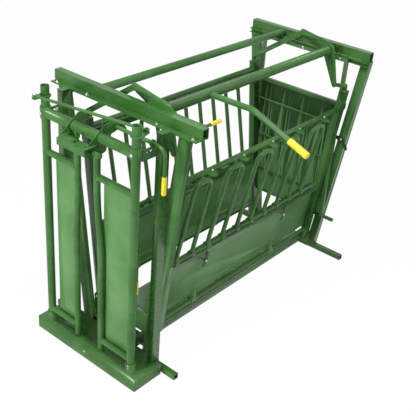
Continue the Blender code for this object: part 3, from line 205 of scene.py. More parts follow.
def filleted(points, bend, steps=10):  # a route through the points, its corners turned on soft curves
    points = [Vector(p) for p in points]
    route = [points[0]]
    for before, corner, after in zip(points, points[1:], points[2:]):
        into, away = (corner - before).normalized(), (after - corner).normalized()
        reach = min(bend * math.tan(into.angle(away) / 2), (corner - before).length / 2.1,
                    (after - corner).length / 2.1)
        start, end = corner - into * reach, corner + away * reach
        for i in range(steps + 1):
            t = i / steps
            route.append(start * (1 - t) ** 2 + corner * 2 * t * (1 - t) + end * t ** 2)
    return route + [points[-1]]


def stations(route):  # places along a route with the way it runs and how far along each one is
    ways = []
    for i, point in enumerate(route):
        before, after = route[max(i - 1, 0)], route[min(i + 1, len(route) - 1)]
        into = (point - before).normalized() if i else (after - point).normalized()
        away = (after - point).normalized() if i < len(route) - 1 else into
        ways.append((into + away).normalized())
    return list(zip(route, ways))


def ringsAlong(places, sides):  # turns a list of (place, way, radius) into rings of points, without twist
    rings = []
    side = places[0][1].orthogonal().normalized()
    for place, way, radius in places:
        side = (side - way * side.dot(way)).normalized()
        up = way.cross(side)
        rings.append([place + (side * math.cos(2 * math.pi * k / sides)
                               + up * math.sin(2 * math.pi * k / sides)) * radius
                      for k in range(sides)])
    return rings


def skin(shell, rings, closed):
    rows = [[shell.verts.new(point) for point in ring] for ring in rings]
    if closed:
        rows.append(rows[0])
    for first, second in zip(rows, rows[1:]):
        for k in range(len(first)):
            n = (k + 1) % len(first)
            shell.faces.new((first[k], first[n], second[n], second[k]))
    if not closed:
        shell.faces.new(rows[0][::-1])
        shell.faces.new(rows[-1])


def bar(shell, route, radius, sides=20, wall=0.0, lip=0.0012):
    # a round bar, or a pipe where wall is given, with its ends broken by a small lip
    spots = stations([Vector(p) for p in route])
    (first, firstWay), (last, lastWay) = spots[0], spots[-1]
    outer = [(first, firstWay, radius - lip), (first + firstWay * lip, firstWay, radius)]
    outer += [(place, way, radius) for place, way in spots[1:-1]]
    outer += [(last - lastWay * lip, lastWay, radius), (last, lastWay, radius - lip)]
    if wall:
        inner = [(place, way, radius - wall) for place, way, _ in outer]
        inner[0] = (first, firstWay, radius - wall + lip * 0.5)
        inner[-1] = (last, lastWay, radius - wall + lip * 0.5)
        outer += inner[::-1]
        rings = ringsAlong(outer[:len(inner)], sides)
        inside = ringsAlong(inner, sides)
        skin(shell, rings + inside[::-1], True)
    else:
        skin(shell, ringsAlong(outer, sides), False)


def turned(shell, start, way, profile, sides=24):  # a lathed piece: profile is a list of (along, radius)
    start, way = Vector(start), Vector(way).normalized()
    closed = profile[0] == profile[-1]
    if closed:
        profile = profile[:-1]
    skin(shell, ringsAlong([(start + way * along, way, radius) for along, radius in profile], sides),
         closed)


def strapLine(first, second, wide, narrow, steps=12):  # the outline round two circles
    first, second = Vector(first), Vector(second)
    heading = math.atan2(second.y - first.y, second.x - first.x)
    lean = math.acos((wide - narrow) / (second - first).length)
    line = []
    for centre, radius, start, sweep in ((second, narrow, -lean, 2 * lean),
                                         (first, wide, lean, 2 * (math.pi - lean))):
        for i in range(steps + 1):
            turn = heading + start + sweep * i / steps
            line.append((centre.x + radius * math.cos(turn), centre.y + radius * math.sin(turn)))
    return line


def platePiece(shell, outline, toPlace, thick, soft=0.0008):
    # a flat outline thickened both ways from its plane, with softened rims; toPlace maps (u, v, w) to a place
    half = thick / 2
    middle = sum((Vector(p) for p in outline), Vector((0, 0))) / len(outline)
    shrunk = [Vector(p) + (middle - Vector(p)).normalized() * soft for p in outline]
    layers = [(shrunk, -half), (outline, -half + soft), (outline, half - soft), (shrunk, half)]
    rows = [[shell.verts.new(toPlace(p[0], p[1], w)) for p in line] for line, w in layers]
    for low, high in zip(rows, rows[1:]):
        for k in range(len(low)):
            n = (k + 1) % len(low)
            shell.faces.new((low[k], low[n], high[n], high[k]))
    shell.faces.new(rows[0][::-1])
    shell.faces.new(rows[-1])


def finished(name, shell, finishName, body, replaced=(), smooth=38.0):
    # the last step of each piece: outward faces, its finish, its place, and the body that it rides on
    bmesh.ops.recalc_face_normals(shell, faces=shell.faces)
    mesh = bpy.data.meshes.new(name)
    shell.to_mesh(mesh)
    shell.free()
    mesh.transform(Matrix.Translation(home))
    mesh.materials.append(finishes[finishName])
    mesh.shade_smooth()
    mesh.set_sharp_from_angle(angle=math.radians(smooth))
    made = bpy.data.objects.new(name, mesh)
    bpy.context.scene.collection.objects.link(made)
    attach(made, body)
    if replaced:
        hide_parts(*replaced)
    return made


bodyOf = {node: body for body, nodes in frame["record"]["behaviour"]["bodies"].items() for node in nodes}
nodeSlot = {row["node"]: row["material_slot"] for row in frame["record"]["subparts"]}


def mirroredY(points, side):
    way = -1 if side == "near" else 1
    return [(p[0], p[1] * way, p[2]) for p in points]


# The leaning plane of the side panels: x, outward and height measured from the pivot at the floor
panel = {"pivotOut": 0.306, "pivotZ": 0.200, "tilt": math.atan(0.113), "front": 0.430, "rear": 2.500,
         "postDeep": 0.070, "postThick": 0.057, "topRailThick": 0.008, "midRailDeep": 0.050,
         "midRailTall": 0.054, "midRailHeight": 0.549, "hingePipeHeight": 0.606, "hingePipeOut": 0.010,
         "hingePipe": 0.0424, "lowPipe": 0.0337, "lowPipeHeight": 0.070}


def inPanel(side, x, outward, height):
    y = panel["pivotOut"] + outward * math.cos(panel["tilt"]) + height * math.sin(panel["tilt"])
    z = panel["pivotZ"] - outward * math.sin(panel["tilt"]) + height * math.cos(panel["tilt"])
    return Vector((x, -y if side == "near" else y, z))


def panelWay(side, outward, height):
    return inPanel(side, 0, outward, height) - inPanel(side, 0, 0, 0)


bolts = {}    # body: list of (place, way, size), built further down
welds = {}    # body: list of (points, closed), built further down


def boltAt(body, place, way, size=1.0):
    bolts.setdefault(body, []).append((Vector(place), Vector(way).normalized(), size))


def weldAt(body, points, closed=True):
    welds.setdefault(body, []).append(([Vector(p) for p in points], closed))


def ringWeld(body, centre, way, radius, wrap=0.0, wrapAxis=None):
    # a bead round a pipe; where it meets a crossing pipe of radius wrap, the bead follows that pipe's side
    centre, way = Vector(centre), Vector(way).normalized()
    side = Vector(wrapAxis).normalized() if wrapAxis else way.orthogonal().normalized()
    up = way.cross(side)
    points = []
    for k in range(28):
        turn = 2 * math.pi * k / 28
        off = radius * math.sin(turn)
        dip = wrap - math.sqrt(max(wrap ** 2 - off ** 2, 0)) if wrap else 0.0
        points.append(centre + side * radius * math.cos(turn) + up * off - way * dip)
    weldAt(body, points)


def boxWeld(body, centre, across, up, wide, tall):
    centre, across, up = Vector(centre), Vector(across).normalized(), Vector(up).normalized()
    weldAt(body, [centre + across * wide / 2 * i + up * tall / 2 * j
                  for i, j in ((-1, -1), (1, -1), (1, 1), (-1, 1))])


# Doors of the head gate

door = {"hingeX": 0.058, "hingeOut": 0.428, "hinge": 0.0603, "hingeWall": 0.0037, "bottom": 0.1048,
        "top": 2.035, "pipe": 0.0483, "wall": 0.0032, "topZ": 1.552, "lowZ": 0.210, "neckTop": 1.710,
        "neckLow": 0.125, "bendHigh": 1.370, "bendLow": 1.000, "bend": 2.5,
        "neck": {"near": (0.077, 0.118), "far": (0.112, 0.132)}, "crank": 0.085, "crankZ": 1.968,
        "crankThick": 0.008, "rod": 0.021}


def doorFrame(side):
    x, out = door["hingeX"], door["hingeOut"]
    high, low = door["neck"][side]
    body = side + "_door"
    way = -1 if side == "near" else 1
    shell = bmesh.new()
    bar(shell, mirroredY([(x, out, door["bottom"]), (x, out, door["top"])], side), door["hinge"] / 2, 32,
        door["hingeWall"])
    for inner, z in ((high, door["topZ"]), (low, door["lowZ"])):
        bar(shell, mirroredY([(x, out - 0.020, z), (x, inner + 0.012, z)], side), door["pipe"] / 2, 28)
        ringWeld(body, (x, way * (out - door["hinge"] / 2), z), (0, -way, 0), door["pipe"] / 2,
                 door["hinge"] / 2, (0, 0, 1))
        ringWeld(body, (x, way * (inner + door["pipe"] / 2), z), (0, way, 0), door["pipe"] / 2,
                 door["pipe"] / 2, (0, 0, 1))
    route = filleted([(x, high, door["neckTop"]), (x, high, door["bendHigh"]), (x, low, door["bendLow"]),
                      (x, low, door["neckLow"])], door["bend"], 12)
    bar(shell, mirroredY(route, side), door["pipe"] / 2, 28, door["wall"])
    reach = door["crank"] if side == "near" else -door["crank"]
    outline = strapLine((x, way * out), (x + reach, way * out), 0.042, 0.020)
    z = door["crankZ"] - door["crankThick"] / 2
    platePiece(shell, outline, lambda u, v, w: Vector((u, v, z + w)), door["crankThick"])
    pinTop = door["crankZ"] + door["rod"] + 0.008 if side == "near" else door["crankZ"] - 0.002
    turned(shell, (x + reach, way * out, door["crankZ"] - 0.017), (0, 0, 1),
           [(0, 0.005), (0.001, 0.007), (pinTop - door["crankZ"] + 0.016, 0.007),
            (pinTop - door["crankZ"] + 0.017, 0.005)], 16)
    for z in (door["crankZ"], door["crankZ"] - door["crankThick"]):
        ringWeld(body, (x, way * out, z), (0, 0, 1), door["hinge"] / 2)
    if side == "near":  # the peg that carries the prop rod
        turned(shell, (x + door["hinge"] / 2 - 0.004, -out, 1.120), (1, 0, 0),
               [(0, 0.006), (0.0225, 0.006), (0.0225, 0.010), (0.0235, 0.011), (0.026, 0.011),
                (0.0268, 0.0095)], 20)
    finished(side + "DoorFrame", shell, "greenEnamel", body, [side + "_door_frame"])


for side in ("near", "far"):
    doorFrame(side)
print("doors framed")


# Drop bars

dropBar = {"first": {"near": 0.540, "far": 0.717}, "pitch": 0.177, "long": 0.700, "foot": 0.024,
           "lean": math.radians(5.0), "rod": 0.0337, "bend": 0.077, "knuckle": 0.044, "sleeve": 0.0062}


def hoop(number, side):
    body = f"{side}_bar_{number + 1}"
    out, height = panel["hingePipeOut"], panel["hingePipeHeight"]
    legs = [dropBar["first"][side] + dropBar["pitch"] * (2 * number + i) for i in (0, 1)]
    sleeveRadius = panel["hingePipe"] / 2 + dropBar["sleeve"]
    lean = (math.sin(dropBar["lean"]), math.cos(dropBar["lean"]))
    corners = ((0, dropBar["foot"]), (0, dropBar["long"]), (1, dropBar["long"]), (1, dropBar["foot"]))
    shell = bmesh.new()
    points = [inPanel(side, legs[i], out + up * lean[0], height + up * lean[1]) for i, up in corners]
    bar(shell, filleted(points, dropBar["bend"], 12), dropBar["rod"] / 2, 20)
    for x in legs:
        half = dropBar["knuckle"] / 2
        bore = panel["hingePipe"] / 2 + 0.0009
        turned(shell, inPanel(side, x - half, out, height), (1, 0, 0),
               [(0, bore + 0.001), (0, sleeveRadius - 0.001), (0.001, sleeveRadius),
                (2 * half - 0.001, sleeveRadius), (2 * half, sleeveRadius - 0.001), (2 * half, bore + 0.001),
                (2 * half - 0.001, bore), (0.001, bore), (0, bore + 0.001)], 28)
        ringWeld(body, inPanel(side, x, out + sleeveRadius * lean[0], height + sleeveRadius * lean[1]),
                 panelWay(side, *lean), dropBar["rod"] / 2, sleeveRadius, (1, 0, 0))
    finished(f"{side}DropBar{number + 1}", shell, "greenEnamel", body, [f"{side}_drop_bar_{number + 1}"])


for side in ("near", "far"):
    for number in range(5):
        hoop(number, side)
print("drop bars bent")


# Levers, rods and their grips

lever = {"x": 0.900, "shaftOut": 0.280, "shaftZ": 1.976, "shaft": 0.073, "rod": 0.042, "knee": 0.668,
         "drop": math.radians(20.4), "arm": 0.498, "grip": 0.166, "bend": 0.12}
release = {"x": 0.190, "z": 1.880, "rod": 0.027, "out": 0.550, "from": -0.020, "gripLow": 1.554,
           "gripHigh": 1.687, "bend": 0.085}
lock = {"out": 0.375, "z": 1.985, "reach": 0.640, "end": 0.600, "rod": 0.021, "x": 0.4445,
        "grip": 0.105, "bend": 0.030}
prop = {"x": 0.1035, "out": 0.428, "z": 1.120, "end": 0.760, "rod": 0.011, "grip": 0.105}
gripWall = 0.0035


def grip(name, closedEnd, openEnd, inner, body, replaced):
    # dipped vinyl: a domed end, a rolled rim and shallow rings
    closedEnd, openEnd = Vector(closedEnd), Vector(openEnd)
    long = (openEnd - closedEnd).length
    outer = inner + gripWall
    profile = [(0.0, outer * 0.30), (0.0006, outer * 0.55), (0.0022, outer * 0.80), (0.005, outer * 0.94),
               (0.009, outer * 0.99)]
    rings = 9
    for i in range(rings):
        at = 0.012 + (long - 0.030) * i / (rings - 1)
        profile += [(at, outer * 0.995), (at + 0.0018, outer * 0.965), (at + 0.0036, outer * 0.995)]
    profile += [(long - 0.008, outer * 0.98), (long - 0.005, outer), (long - 0.0015, outer),
                (long, outer - 0.001), (long, inner + 0.0008), (long - 0.004, inner + 0.0004),
                (gripWall, inner + 0.0004),
                (gripWall - 0.0003, inner * 0.3)]
    shell = bmesh.new()
    turned(shell, closedEnd, openEnd - closedEnd, profile, 32)
    finished(name, shell, "yellowVinyl", body, replaced, 50.0)


def leverPiece(name, route, rod, body, replaced, bend, extra=None):
    shell = bmesh.new()
    bar(shell, filleted(route, bend, 12), rod / 2, 24)
    if extra:
        extra(shell)
    finished(name, shell, "greenEnamel", body, replaced)


start = Vector((lever["x"], -(lever["shaftOut"] + lever["shaft"] / 2 + 0.0003), lever["shaftZ"] + 0.004))
knee = Vector((lever["x"], -lever["knee"], lever["shaftZ"] + 0.009))
fall = Vector((0, -math.cos(lever["drop"]), -math.sin(lever["drop"])))
end = knee + fall * lever["arm"]
leverPiece("squeezeLever", [start, knee, end - fall * gripWall], lever["rod"], "squeeze", ["squeeze_lever"],
           lever["bend"])
grip("squeezeGrip", end, end - fall * lever["grip"], lever["rod"] / 2, "squeeze", ["squeeze_grip"])
ringWeld("squeeze", start, (0, -1, 0), lever["rod"] / 2, lever["shaft"] / 2, (1, 0, 0))


def releaseArm(shell):
    outline = strapLine((release["x"], release["z"]), (release["x"] - 0.055, release["z"] + 0.020), 0.020,
                        0.011)
    platePiece(shell, outline, lambda u, v, w: Vector((u, -0.051 + w, v)), 0.008)


leverPiece("releaseHandle", [(release["x"], release["from"], release["z"]),
                             (release["x"], -release["out"], release["z"]),
                             (release["x"], -release["out"], release["gripLow"] + gripWall)], release["rod"],
           "release", ["release_handle"], release["bend"], releaseArm)
grip("releaseGrip", (release["x"], -release["out"], release["gripLow"]),
     (release["x"], -release["out"], release["gripHigh"]), release["rod"] / 2, "release", ["release_grip"])


def lockHub(shell):
    turned(shell, (0.4286, -lock["out"], lock["z"]), (1, 0, 0),
           [(0, 0.0095), (0, 0.015), (0.001, 0.016), (0.0307, 0.016), (0.0317, 0.015), (0.0317, 0.0095),
            (0.0307, 0.0086), (0.001, 0.0086), (0, 0.0095)])
    outline = strapLine((-lock["out"], lock["z"]), (-lever["shaftOut"] - lever["shaft"] / 2 - 0.016,
                                                    lock["z"] - 0.004), 0.014, 0.010)
    kept = [p for p in outline if (Vector(p) - Vector((-lock["out"], lock["z"]))).length > 0.0135]
    platePiece(shell, kept, lambda u, v, w: Vector((lock["x"] + w, u, v)), 0.010)


leverPiece("lockLever", [(lock["x"], -lock["out"] - 0.0125, lock["z"]),
                         (lock["x"], -lock["reach"], lock["z"]),
                         (lock["end"] - gripWall, -lock["reach"], lock["z"])], lock["rod"], "lock_lever",
           ["lock_lever"], lock["bend"], lockHub)
grip("lockGrip", (lock["end"], -lock["reach"], lock["z"]),
     (lock["end"] - lock["grip"], -lock["reach"], lock["z"]), lock["rod"] / 2, "lock_lever", ["lock_grip"])


def propEye(shell):
    turned(shell, (prop["x"] - 0.0035, -prop["out"], prop["z"]), (1, 0, 0),
           [(0, 0.0075), (0, 0.0150), (0.001, 0.0158), (0.006, 0.0158), (0.007, 0.0150), (0.007, 0.0075),
            (0.006, 0.0067), (0.001, 0.0067), (0, 0.0075)])


leverPiece("propRod", [(prop["x"], -prop["out"], prop["z"] - 0.0145), (prop["x"], -prop["out"], 0.95),
                       (prop["x"], -prop["out"], prop["end"] + gripWall)], prop["rod"], "prop_rod",
           ["prop_rod"], 0.01, propEye)
grip("propGrip", (prop["x"], -prop["out"], prop["end"]),
     (prop["x"], -prop["out"], prop["end"] + prop["grip"]), prop["rod"] / 2, "prop_rod", ["prop_rod_grip"])


def syncRod():  # a bar with an eye forged flat at the near end and a bolted eye at the far end
    z = door["crankZ"] + 0.0003 + door["rod"] / 2
    near = Vector((door["hingeX"] + door["crank"], -door["hingeOut"], z))
    far = Vector((door["hingeX"] - door["crank"], door["hingeOut"], z))
    way = (far - near).normalized()
    half = door["rod"] / 2
    shell = bmesh.new()
    bar(shell, [near + way * 0.012, far - way * 0.008], half, 20)
    turned(shell, near - Vector((0, 0, half)), (0, 0, 1),
           [(0, 0.0085), (0, 0.0158), (0.0015, 0.0170), (2 * half - 0.0015, 0.0170), (2 * half, 0.0158),
            (2 * half, 0.0085), (2 * half - 0.001, 0.0076), (0.001, 0.0076), (0, 0.0085)])
    turned(shell, far - Vector((0, 0, half)), (0, 0, 1),
           [(0, 0.0158), (0.0015, 0.0170), (2 * half - 0.0015, 0.0170), (2 * half, 0.0158)])
    finished("syncRod", shell, "greenEnamel", "sync_rod", ["sync_rod"])
    boltAt("sync_rod", far + Vector((0, 0, half)), (0, 0, 1), 0.86)


syncRod()
print("levers, rods and grips made")


# Turn catches of the kick panels

catch = {"x": (0.890, 1.915), "height": 0.462, "out": 0.0275, "thick": 0.006, "eye": 0.0205, "tip": 0.0120,
         "tipHeight": 0.540, "tipAside": 0.004, "tail": 0.0125, "tailTip": 0.0095, "tailHeight": 0.420,
         "tailAside": 0.021}


def kickCatch(side, place, x):
    shell = bmesh.new()
    top = strapLine((x, catch["height"]), (x + catch["tipAside"], catch["tipHeight"]), catch["eye"],
                    catch["tip"], 16)
    low = strapLine((x - 0.004, catch["height"] - 0.012), (x - catch["tailAside"], catch["tailHeight"]),
                    catch["tail"], catch["tailTip"], 12)
    for line, lift in ((top, 0.0), (low, 0.0005)):
        middle = catch["out"] + catch["thick"] / 2 + lift
        platePiece(shell, line, lambda u, v, w: inPanel(side, u, middle + w, v), catch["thick"] - lift * 2,
                   0.0012)
    finished(f"{side}{place.title()}Catch", shell, "catchGreen", f"{side}_{place}_catch",
             [f"{side}_catch_{place}"])


for side in ("near", "far"):
    for place, x in zip(("front", "rear"), catch["x"]):
        kickCatch(side, place, x)
print("turn catches cut")


# Every other solid keeps its own shape: a merged, smooth-shaded copy stands for the loose triangles

def dressed(name):
    source = frame["nodes"][name]
    if source.hide_render:
        return
    shell = bmesh.new()
    shell.from_mesh(source.data)
    bmesh.ops.remove_doubles(shell, verts=shell.verts, dist=0.00001)
    mesh = bpy.data.meshes.new(name + "Dressed")
    shell.to_mesh(mesh)
    shell.free()
    mesh.materials.clear()
    # the tail gate takes gateGreen, a lighter copy of its green enamel, painted light where the key light
    # falls on it
    finishName = "gateGreen" if name == "tail_gate" else finishOf[nodeSlot[name]]
    mesh.materials.append(finishes[finishName])
    mesh.shade_smooth()
    mesh.set_sharp_from_angle(angle=math.radians(34.0))
    made = bpy.data.objects.new(name + "Dressed", mesh)
    bpy.context.scene.collection.objects.link(made)
    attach(made, bodyOf[name])
    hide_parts(name)


for name in sorted(frame["nodes"]):
    dressed(name)
print("other solids dressed")


# Bolts: one Geometry Nodes tree sets a washer and a hex head at each point

def boltTree():
    tree = bpy.data.node_groups.new("boltHeads", "GeometryNodeTree")
    face = tree.interface
    face.new_socket("Geometry", in_out="INPUT", socket_type="NodeSocketGeometry")
    face.new_socket("Geometry", in_out="OUTPUT", socket_type="NodeSocketGeometry")
    for name, value in (("Head Across", 0.0185), ("Head High", 0.0078), ("Washer Across", 0.027),
                        ("Washer Thick", 0.0018), ("Shank Across", 0.0105), ("Shank High", 0.0125)):
        socket = face.new_socket(name, in_out="INPUT", socket_type="NodeSocketFloat")
        socket.default_value = value
    face.new_socket("Finish", in_out="INPUT", socket_type="NodeSocketMaterial")
    nodes, link = tree.nodes, tree.links.new
    given = nodes.new("NodeGroupInput")
    result = nodes.new("NodeGroupOutput")

    def disc(across, high, sides):  # a short cylinder standing on the origin
        radius = nodes.new("ShaderNodeMath")
        radius.operation = "MULTIPLY"
        radius.inputs[1].default_value = 0.5
        link(given.outputs[across], radius.inputs[0])
        cylinder = nodes.new("GeometryNodeMeshCylinder")
        cylinder.inputs["Vertices"].default_value = sides
        link(radius.outputs[0], cylinder.inputs["Radius"])
        link(given.outputs[high], cylinder.inputs["Depth"])
        lift = nodes.new("ShaderNodeMath")
        lift.operation = "MULTIPLY"
        lift.inputs[1].default_value = 0.5
        link(given.outputs[high], lift.inputs[0])
        up = nodes.new("ShaderNodeCombineXYZ")
        link(lift.outputs[0], up.inputs["Z"])
        move = nodes.new("GeometryNodeTransform")
        link(cylinder.outputs["Mesh"], move.inputs["Geometry"])
        link(up.outputs[0], move.inputs["Translation"])
        return move.outputs[0]

    joined = nodes.new("GeometryNodeJoinGeometry")
    for across, high, sides in (("Shank Across", "Shank High", 12), ("Head Across", "Head High", 6),
                                ("Washer Across", "Washer Thick", 20)):
        link(disc(across, high, sides), joined.inputs[0])
    facing = nodes.new("GeometryNodeInputNamedAttribute")
    facing.data_type = "FLOAT_VECTOR"
    facing.inputs["Name"].default_value = "facing"
    size = nodes.new("GeometryNodeInputNamedAttribute")
    size.data_type = "FLOAT"
    size.inputs["Name"].default_value = "size"
    turn = nodes.new("FunctionNodeAlignRotationToVector")
    turn.axis = "Z"
    link(facing.outputs[0], turn.inputs["Vector"])
    spread = nodes.new("GeometryNodeInstanceOnPoints")
    link(given.outputs["Geometry"], spread.inputs["Points"])
    link(joined.outputs[0], spread.inputs["Instance"])
    link(turn.outputs[0], spread.inputs["Rotation"])
    link(size.outputs[0], spread.inputs["Scale"])
    real = nodes.new("GeometryNodeRealizeInstances")
    link(spread.outputs[0], real.inputs[0])
    coat = nodes.new("GeometryNodeSetMaterial")
    link(real.outputs[0], coat.inputs["Geometry"])
    link(given.outputs["Finish"], coat.inputs["Material"])
    link(coat.outputs[0], result.inputs[0])
    return tree


def weldTree():
    tree = bpy.data.node_groups.new("weldBeads", "GeometryNodeTree")
    face = tree.interface
    face.new_socket("Geometry", in_out="INPUT", socket_type="NodeSocketGeometry")
    face.new_socket("Geometry", in_out="OUTPUT", socket_type="NodeSocketGeometry")
    for name, value in (("Bead Radius", 0.0030), ("Ripple", 0.22), ("Spacing", 0.0032)):
        socket = face.new_socket(name, in_out="INPUT", socket_type="NodeSocketFloat")
        socket.default_value = value
    seed = face.new_socket("Seed", in_out="INPUT", socket_type="NodeSocketInt")
    seed.default_value = 7
    face.new_socket("Finish", in_out="INPUT", socket_type="NodeSocketMaterial")
    nodes, link = tree.nodes, tree.links.new
    given = nodes.new("NodeGroupInput")
    result = nodes.new("NodeGroupOutput")
    curve = nodes.new("GeometryNodeMeshToCurve")
    link(given.outputs["Geometry"], curve.inputs["Mesh"])
    even = nodes.new("GeometryNodeResampleCurve")
    even.mode = "LENGTH"
    link(curve.outputs[0], even.inputs["Curve"])
    link(given.outputs["Spacing"], even.inputs["Length"])
    chance = nodes.new("FunctionNodeRandomValue")
    chance.data_type = "FLOAT"
    low = nodes.new("ShaderNodeMath")
    low.operation = "SUBTRACT"
    low.inputs[0].default_value = 1.0
    link(given.outputs["Ripple"], low.inputs[1])
    link(low.outputs[0], chance.inputs[2])
    chance.inputs[3].default_value = 1.0
    link(given.outputs["Seed"], chance.inputs["Seed"])
    size = nodes.new("ShaderNodeMath")
    size.operation = "MULTIPLY"
    link(chance.outputs[1], size.inputs[0])
    link(given.outputs["Bead Radius"], size.inputs[1])
    profile = nodes.new("GeometryNodeCurvePrimitiveCircle")
    profile.inputs["Resolution"].default_value = 6
    profile.inputs["Radius"].default_value = 1.0
    solid = nodes.new("GeometryNodeCurveToMesh")
    link(even.outputs[0], solid.inputs["Curve"])
    link(profile.outputs[0], solid.inputs["Profile Curve"])
    solid.inputs["Fill Caps"].default_value = True
    link(size.outputs[0], solid.inputs["Scale"])
    real = nodes.new("GeometryNodeRealizeInstances")
    link(solid.outputs[0], real.inputs[0])
    coat = nodes.new("GeometryNodeSetMaterial")
    link(real.outputs[0], coat.inputs["Geometry"])
    link(given.outputs["Finish"], coat.inputs["Material"])
    link(coat.outputs[0], result.inputs[0])
    return tree


def grown(name, seedMesh, tree, finishName, body, smooth):
    # runs a Geometry Nodes tree on a seed mesh, keeps the plain mesh it gives, and sets it on its body
    seed = bpy.data.objects.new(name + "Seed", seedMesh)
    bpy.context.scene.collection.objects.link(seed)
    modifier = seed.modifiers.new(name, "NODES")
    modifier.node_group = tree
    sockets = {item.name: item.identifier for item in tree.interface.items_tree
               if item.item_type == "SOCKET" and item.in_out == "INPUT"}
    modifier[sockets["Finish"]] = finishes[finishName]
    seed.update_tag()
    bpy.context.view_layer.update()
    graph = bpy.context.evaluated_depsgraph_get()
    mesh = bpy.data.meshes.new_from_object(seed.evaluated_get(graph))
    bpy.data.objects.remove(seed)
    mesh.name = name
    mesh.transform(Matrix.Translation(home))
    mesh.shade_smooth()
    mesh.set_sharp_from_angle(angle=math.radians(smooth))
    made = bpy.data.objects.new(name, mesh)
    bpy.context.scene.collection.objects.link(made)
    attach(made, body)
    return made


def readableName(body, ending):
    first, *others = body.split("_")
    return first + "".join(word.title() for word in others) + ending


# Places along x, y and z of the bolts, and the size of each against a plain one
boltSet = {"latch": {"aside": 0.018, "proud": 0.0062, "height": 1.341, "size": 0.80},
           "catch": {"proud": 0.0090, "size": 0.78},
           "bracket": {"place": (0.158, 0.4375, 1.835), "size": 0.85},
           "flat": {"x": 0.338, "y": (0.33, 0.638), "z": 1.929, "size": 1.0},
           "tray": {"place": (0.313, 0.110, 0.0525), "size": 1.0},
           "sleeve": {"place": (0.016, 0.428, 1.845), "size": 0.80},
           "crank": {"x": (0.4705, 2.4585), "pins": ((-0.010, 2.060), (-0.380, 1.700)), "size": 0.95},
           "bearing": {"x": 0.4284, "y": (-0.370, -0.195), "z": 1.955, "size": 0.85},
           "hook": {"place": (2.5473, -0.474, 1.200), "size": 0.80},
           "roller": {"x": 2.5049, "y": (-0.360, 0.010), "z": 1.9085, "size": 0.80},
           "pivot": {"proud": 0.0242, "size": 0.95}}


def sideBolts(side):
    way = -1 if side == "near" else 1
    latch, turn, flat = boltSet["latch"], boltSet["catch"], boltSet["flat"]
    face = panel["postThick"] / 2 + panel["topRailThick"] + latch["proud"]
    for i in range(1, 10, 2):  # pivot bolt of each bar latch
        x = dropBar["first"][side] + dropBar["pitch"] * i + latch["aside"]
        boltAt(side + "_panel", inPanel(side, x, face, latch["height"]), panelWay(side, 1, 0), latch["size"])
    for x in catch["x"]:  # bolt that each kick panel catch turns on
        place = inPanel(side, x, panel["midRailDeep"] / 2 + turn["proud"], catch["height"])
        boltAt(side + "_kick", place, panelWay(side, 1, 0), turn["size"])
    for name, facing in (("bracket", (0, -way, 0)), ("tray", (0, 0, 1)), ("sleeve", (-1, 0, 0))):
        x, y, z = boltSet[name]["place"]
        boltAt("frame", (x, way * y, z), facing, boltSet[name]["size"])
    for y in flat["y"]:  # the bolting flat is bolted down to the head posts and hangs the beam
        boltAt("frame", (flat["x"], way * y, flat["z"]), (0, 0, 1), flat["size"])
    for post, facing in ((panel["rear"], 1), (panel["front"], -1)):
        place = inPanel(side, post + facing * boltSet["pivot"]["proud"], 0, 0)
        boltAt(side + "_panel", place, (facing, 0, 0), boltSet["pivot"]["size"])


for side in ("near", "far"):
    sideBolts(side)
for x in boltSet["crank"]["x"]:  # nuts on the crank pins
    for pin in boltSet["crank"]["pins"]:
        boltAt("squeeze", (x, *pin), (1, 0, 0), boltSet["crank"]["size"])
for name, body, facing in (("bearing", "frame", (1, 0, 0)), ("roller", "tail_gate", (-1, 0, 0))):
    for y in boltSet[name]["y"]:
        boltAt(body, (boltSet[name]["x"], y, boltSet[name]["z"]), facing, boltSet[name]["size"])
boltAt("frame", boltSet["hook"]["place"], (-1, 0, 0), boltSet["hook"]["size"])

boltHeads = boltTree()
for body, spots in bolts.items():
    mesh = bpy.data.meshes.new("boltPoints")
    mesh.from_pydata([tuple(place) for place, _, _ in spots], [], [])
    mesh.attributes.new("facing", "FLOAT_VECTOR", "POINT").data.foreach_set(
        "vector", [v for _, way, _ in spots for v in way])
    mesh.attributes.new("size", "FLOAT", "POINT").data.foreach_set("value", [size for _, _, size in spots])
    grown(readableName(body, "Bolts"), mesh, boltHeads, "zinc", body, 30.0)
print("bolts set:", sum(len(spots) for spots in bolts.values()))

# Weld beads round the joints
weldSet = {"socket": {"z": 0.1047, "radius": 0.0380},
           "postFoot": {"place": (0.253, 0.469, 0.1050), "size": (0.073, 0.051)},
           "crossPipe": {"z": 1.842, "radius": 0.0357, "sleeve": 0.0378},
           "tiePipe": {"x": (0.4205, 2.5625), "place": (0.260, 1.972), "radius": 0.0302},
           "shaft": {"x": (0.4605, 2.4398, 2.4484), "radius": 0.0365}}


def sideWelds(side):
    way = -1 if side == "near" else 1
    socket, foot, pipe = weldSet["socket"], weldSet["postFoot"], weldSet["crossPipe"]
    x, out = door["hingeX"], door["hingeOut"]
    ringWeld("frame", (x, way * out, socket["z"]), (0, 0, 1), socket["radius"])
    boxWeld("frame", (foot["place"][0], way * foot["place"][1], foot["place"][2]), (1, 0, 0), (0, 1, 0),
            *foot["size"])
    ringWeld("frame", (x, way * (out - pipe["sleeve"]), pipe["z"]), (0, -way, 0), pipe["radius"],
             pipe["sleeve"], (0, 0, 1))
    posts = ((panel["front"] + panel["postDeep"], 1), (panel["rear"] - panel["postDeep"], -1))
    for x, facing in posts:
        ringWeld(side + "_panel", inPanel(side, x, 0, panel["lowPipeHeight"]), (facing, 0, 0),
                 panel["lowPipe"] / 2)
    for x, facing in posts:
        boxWeld(side + "_panel", inPanel(side, x, 0, panel["midRailHeight"]), panelWay(side, 1, 0),
                panelWay(side, 0, 1), panel["midRailDeep"], panel["midRailTall"])


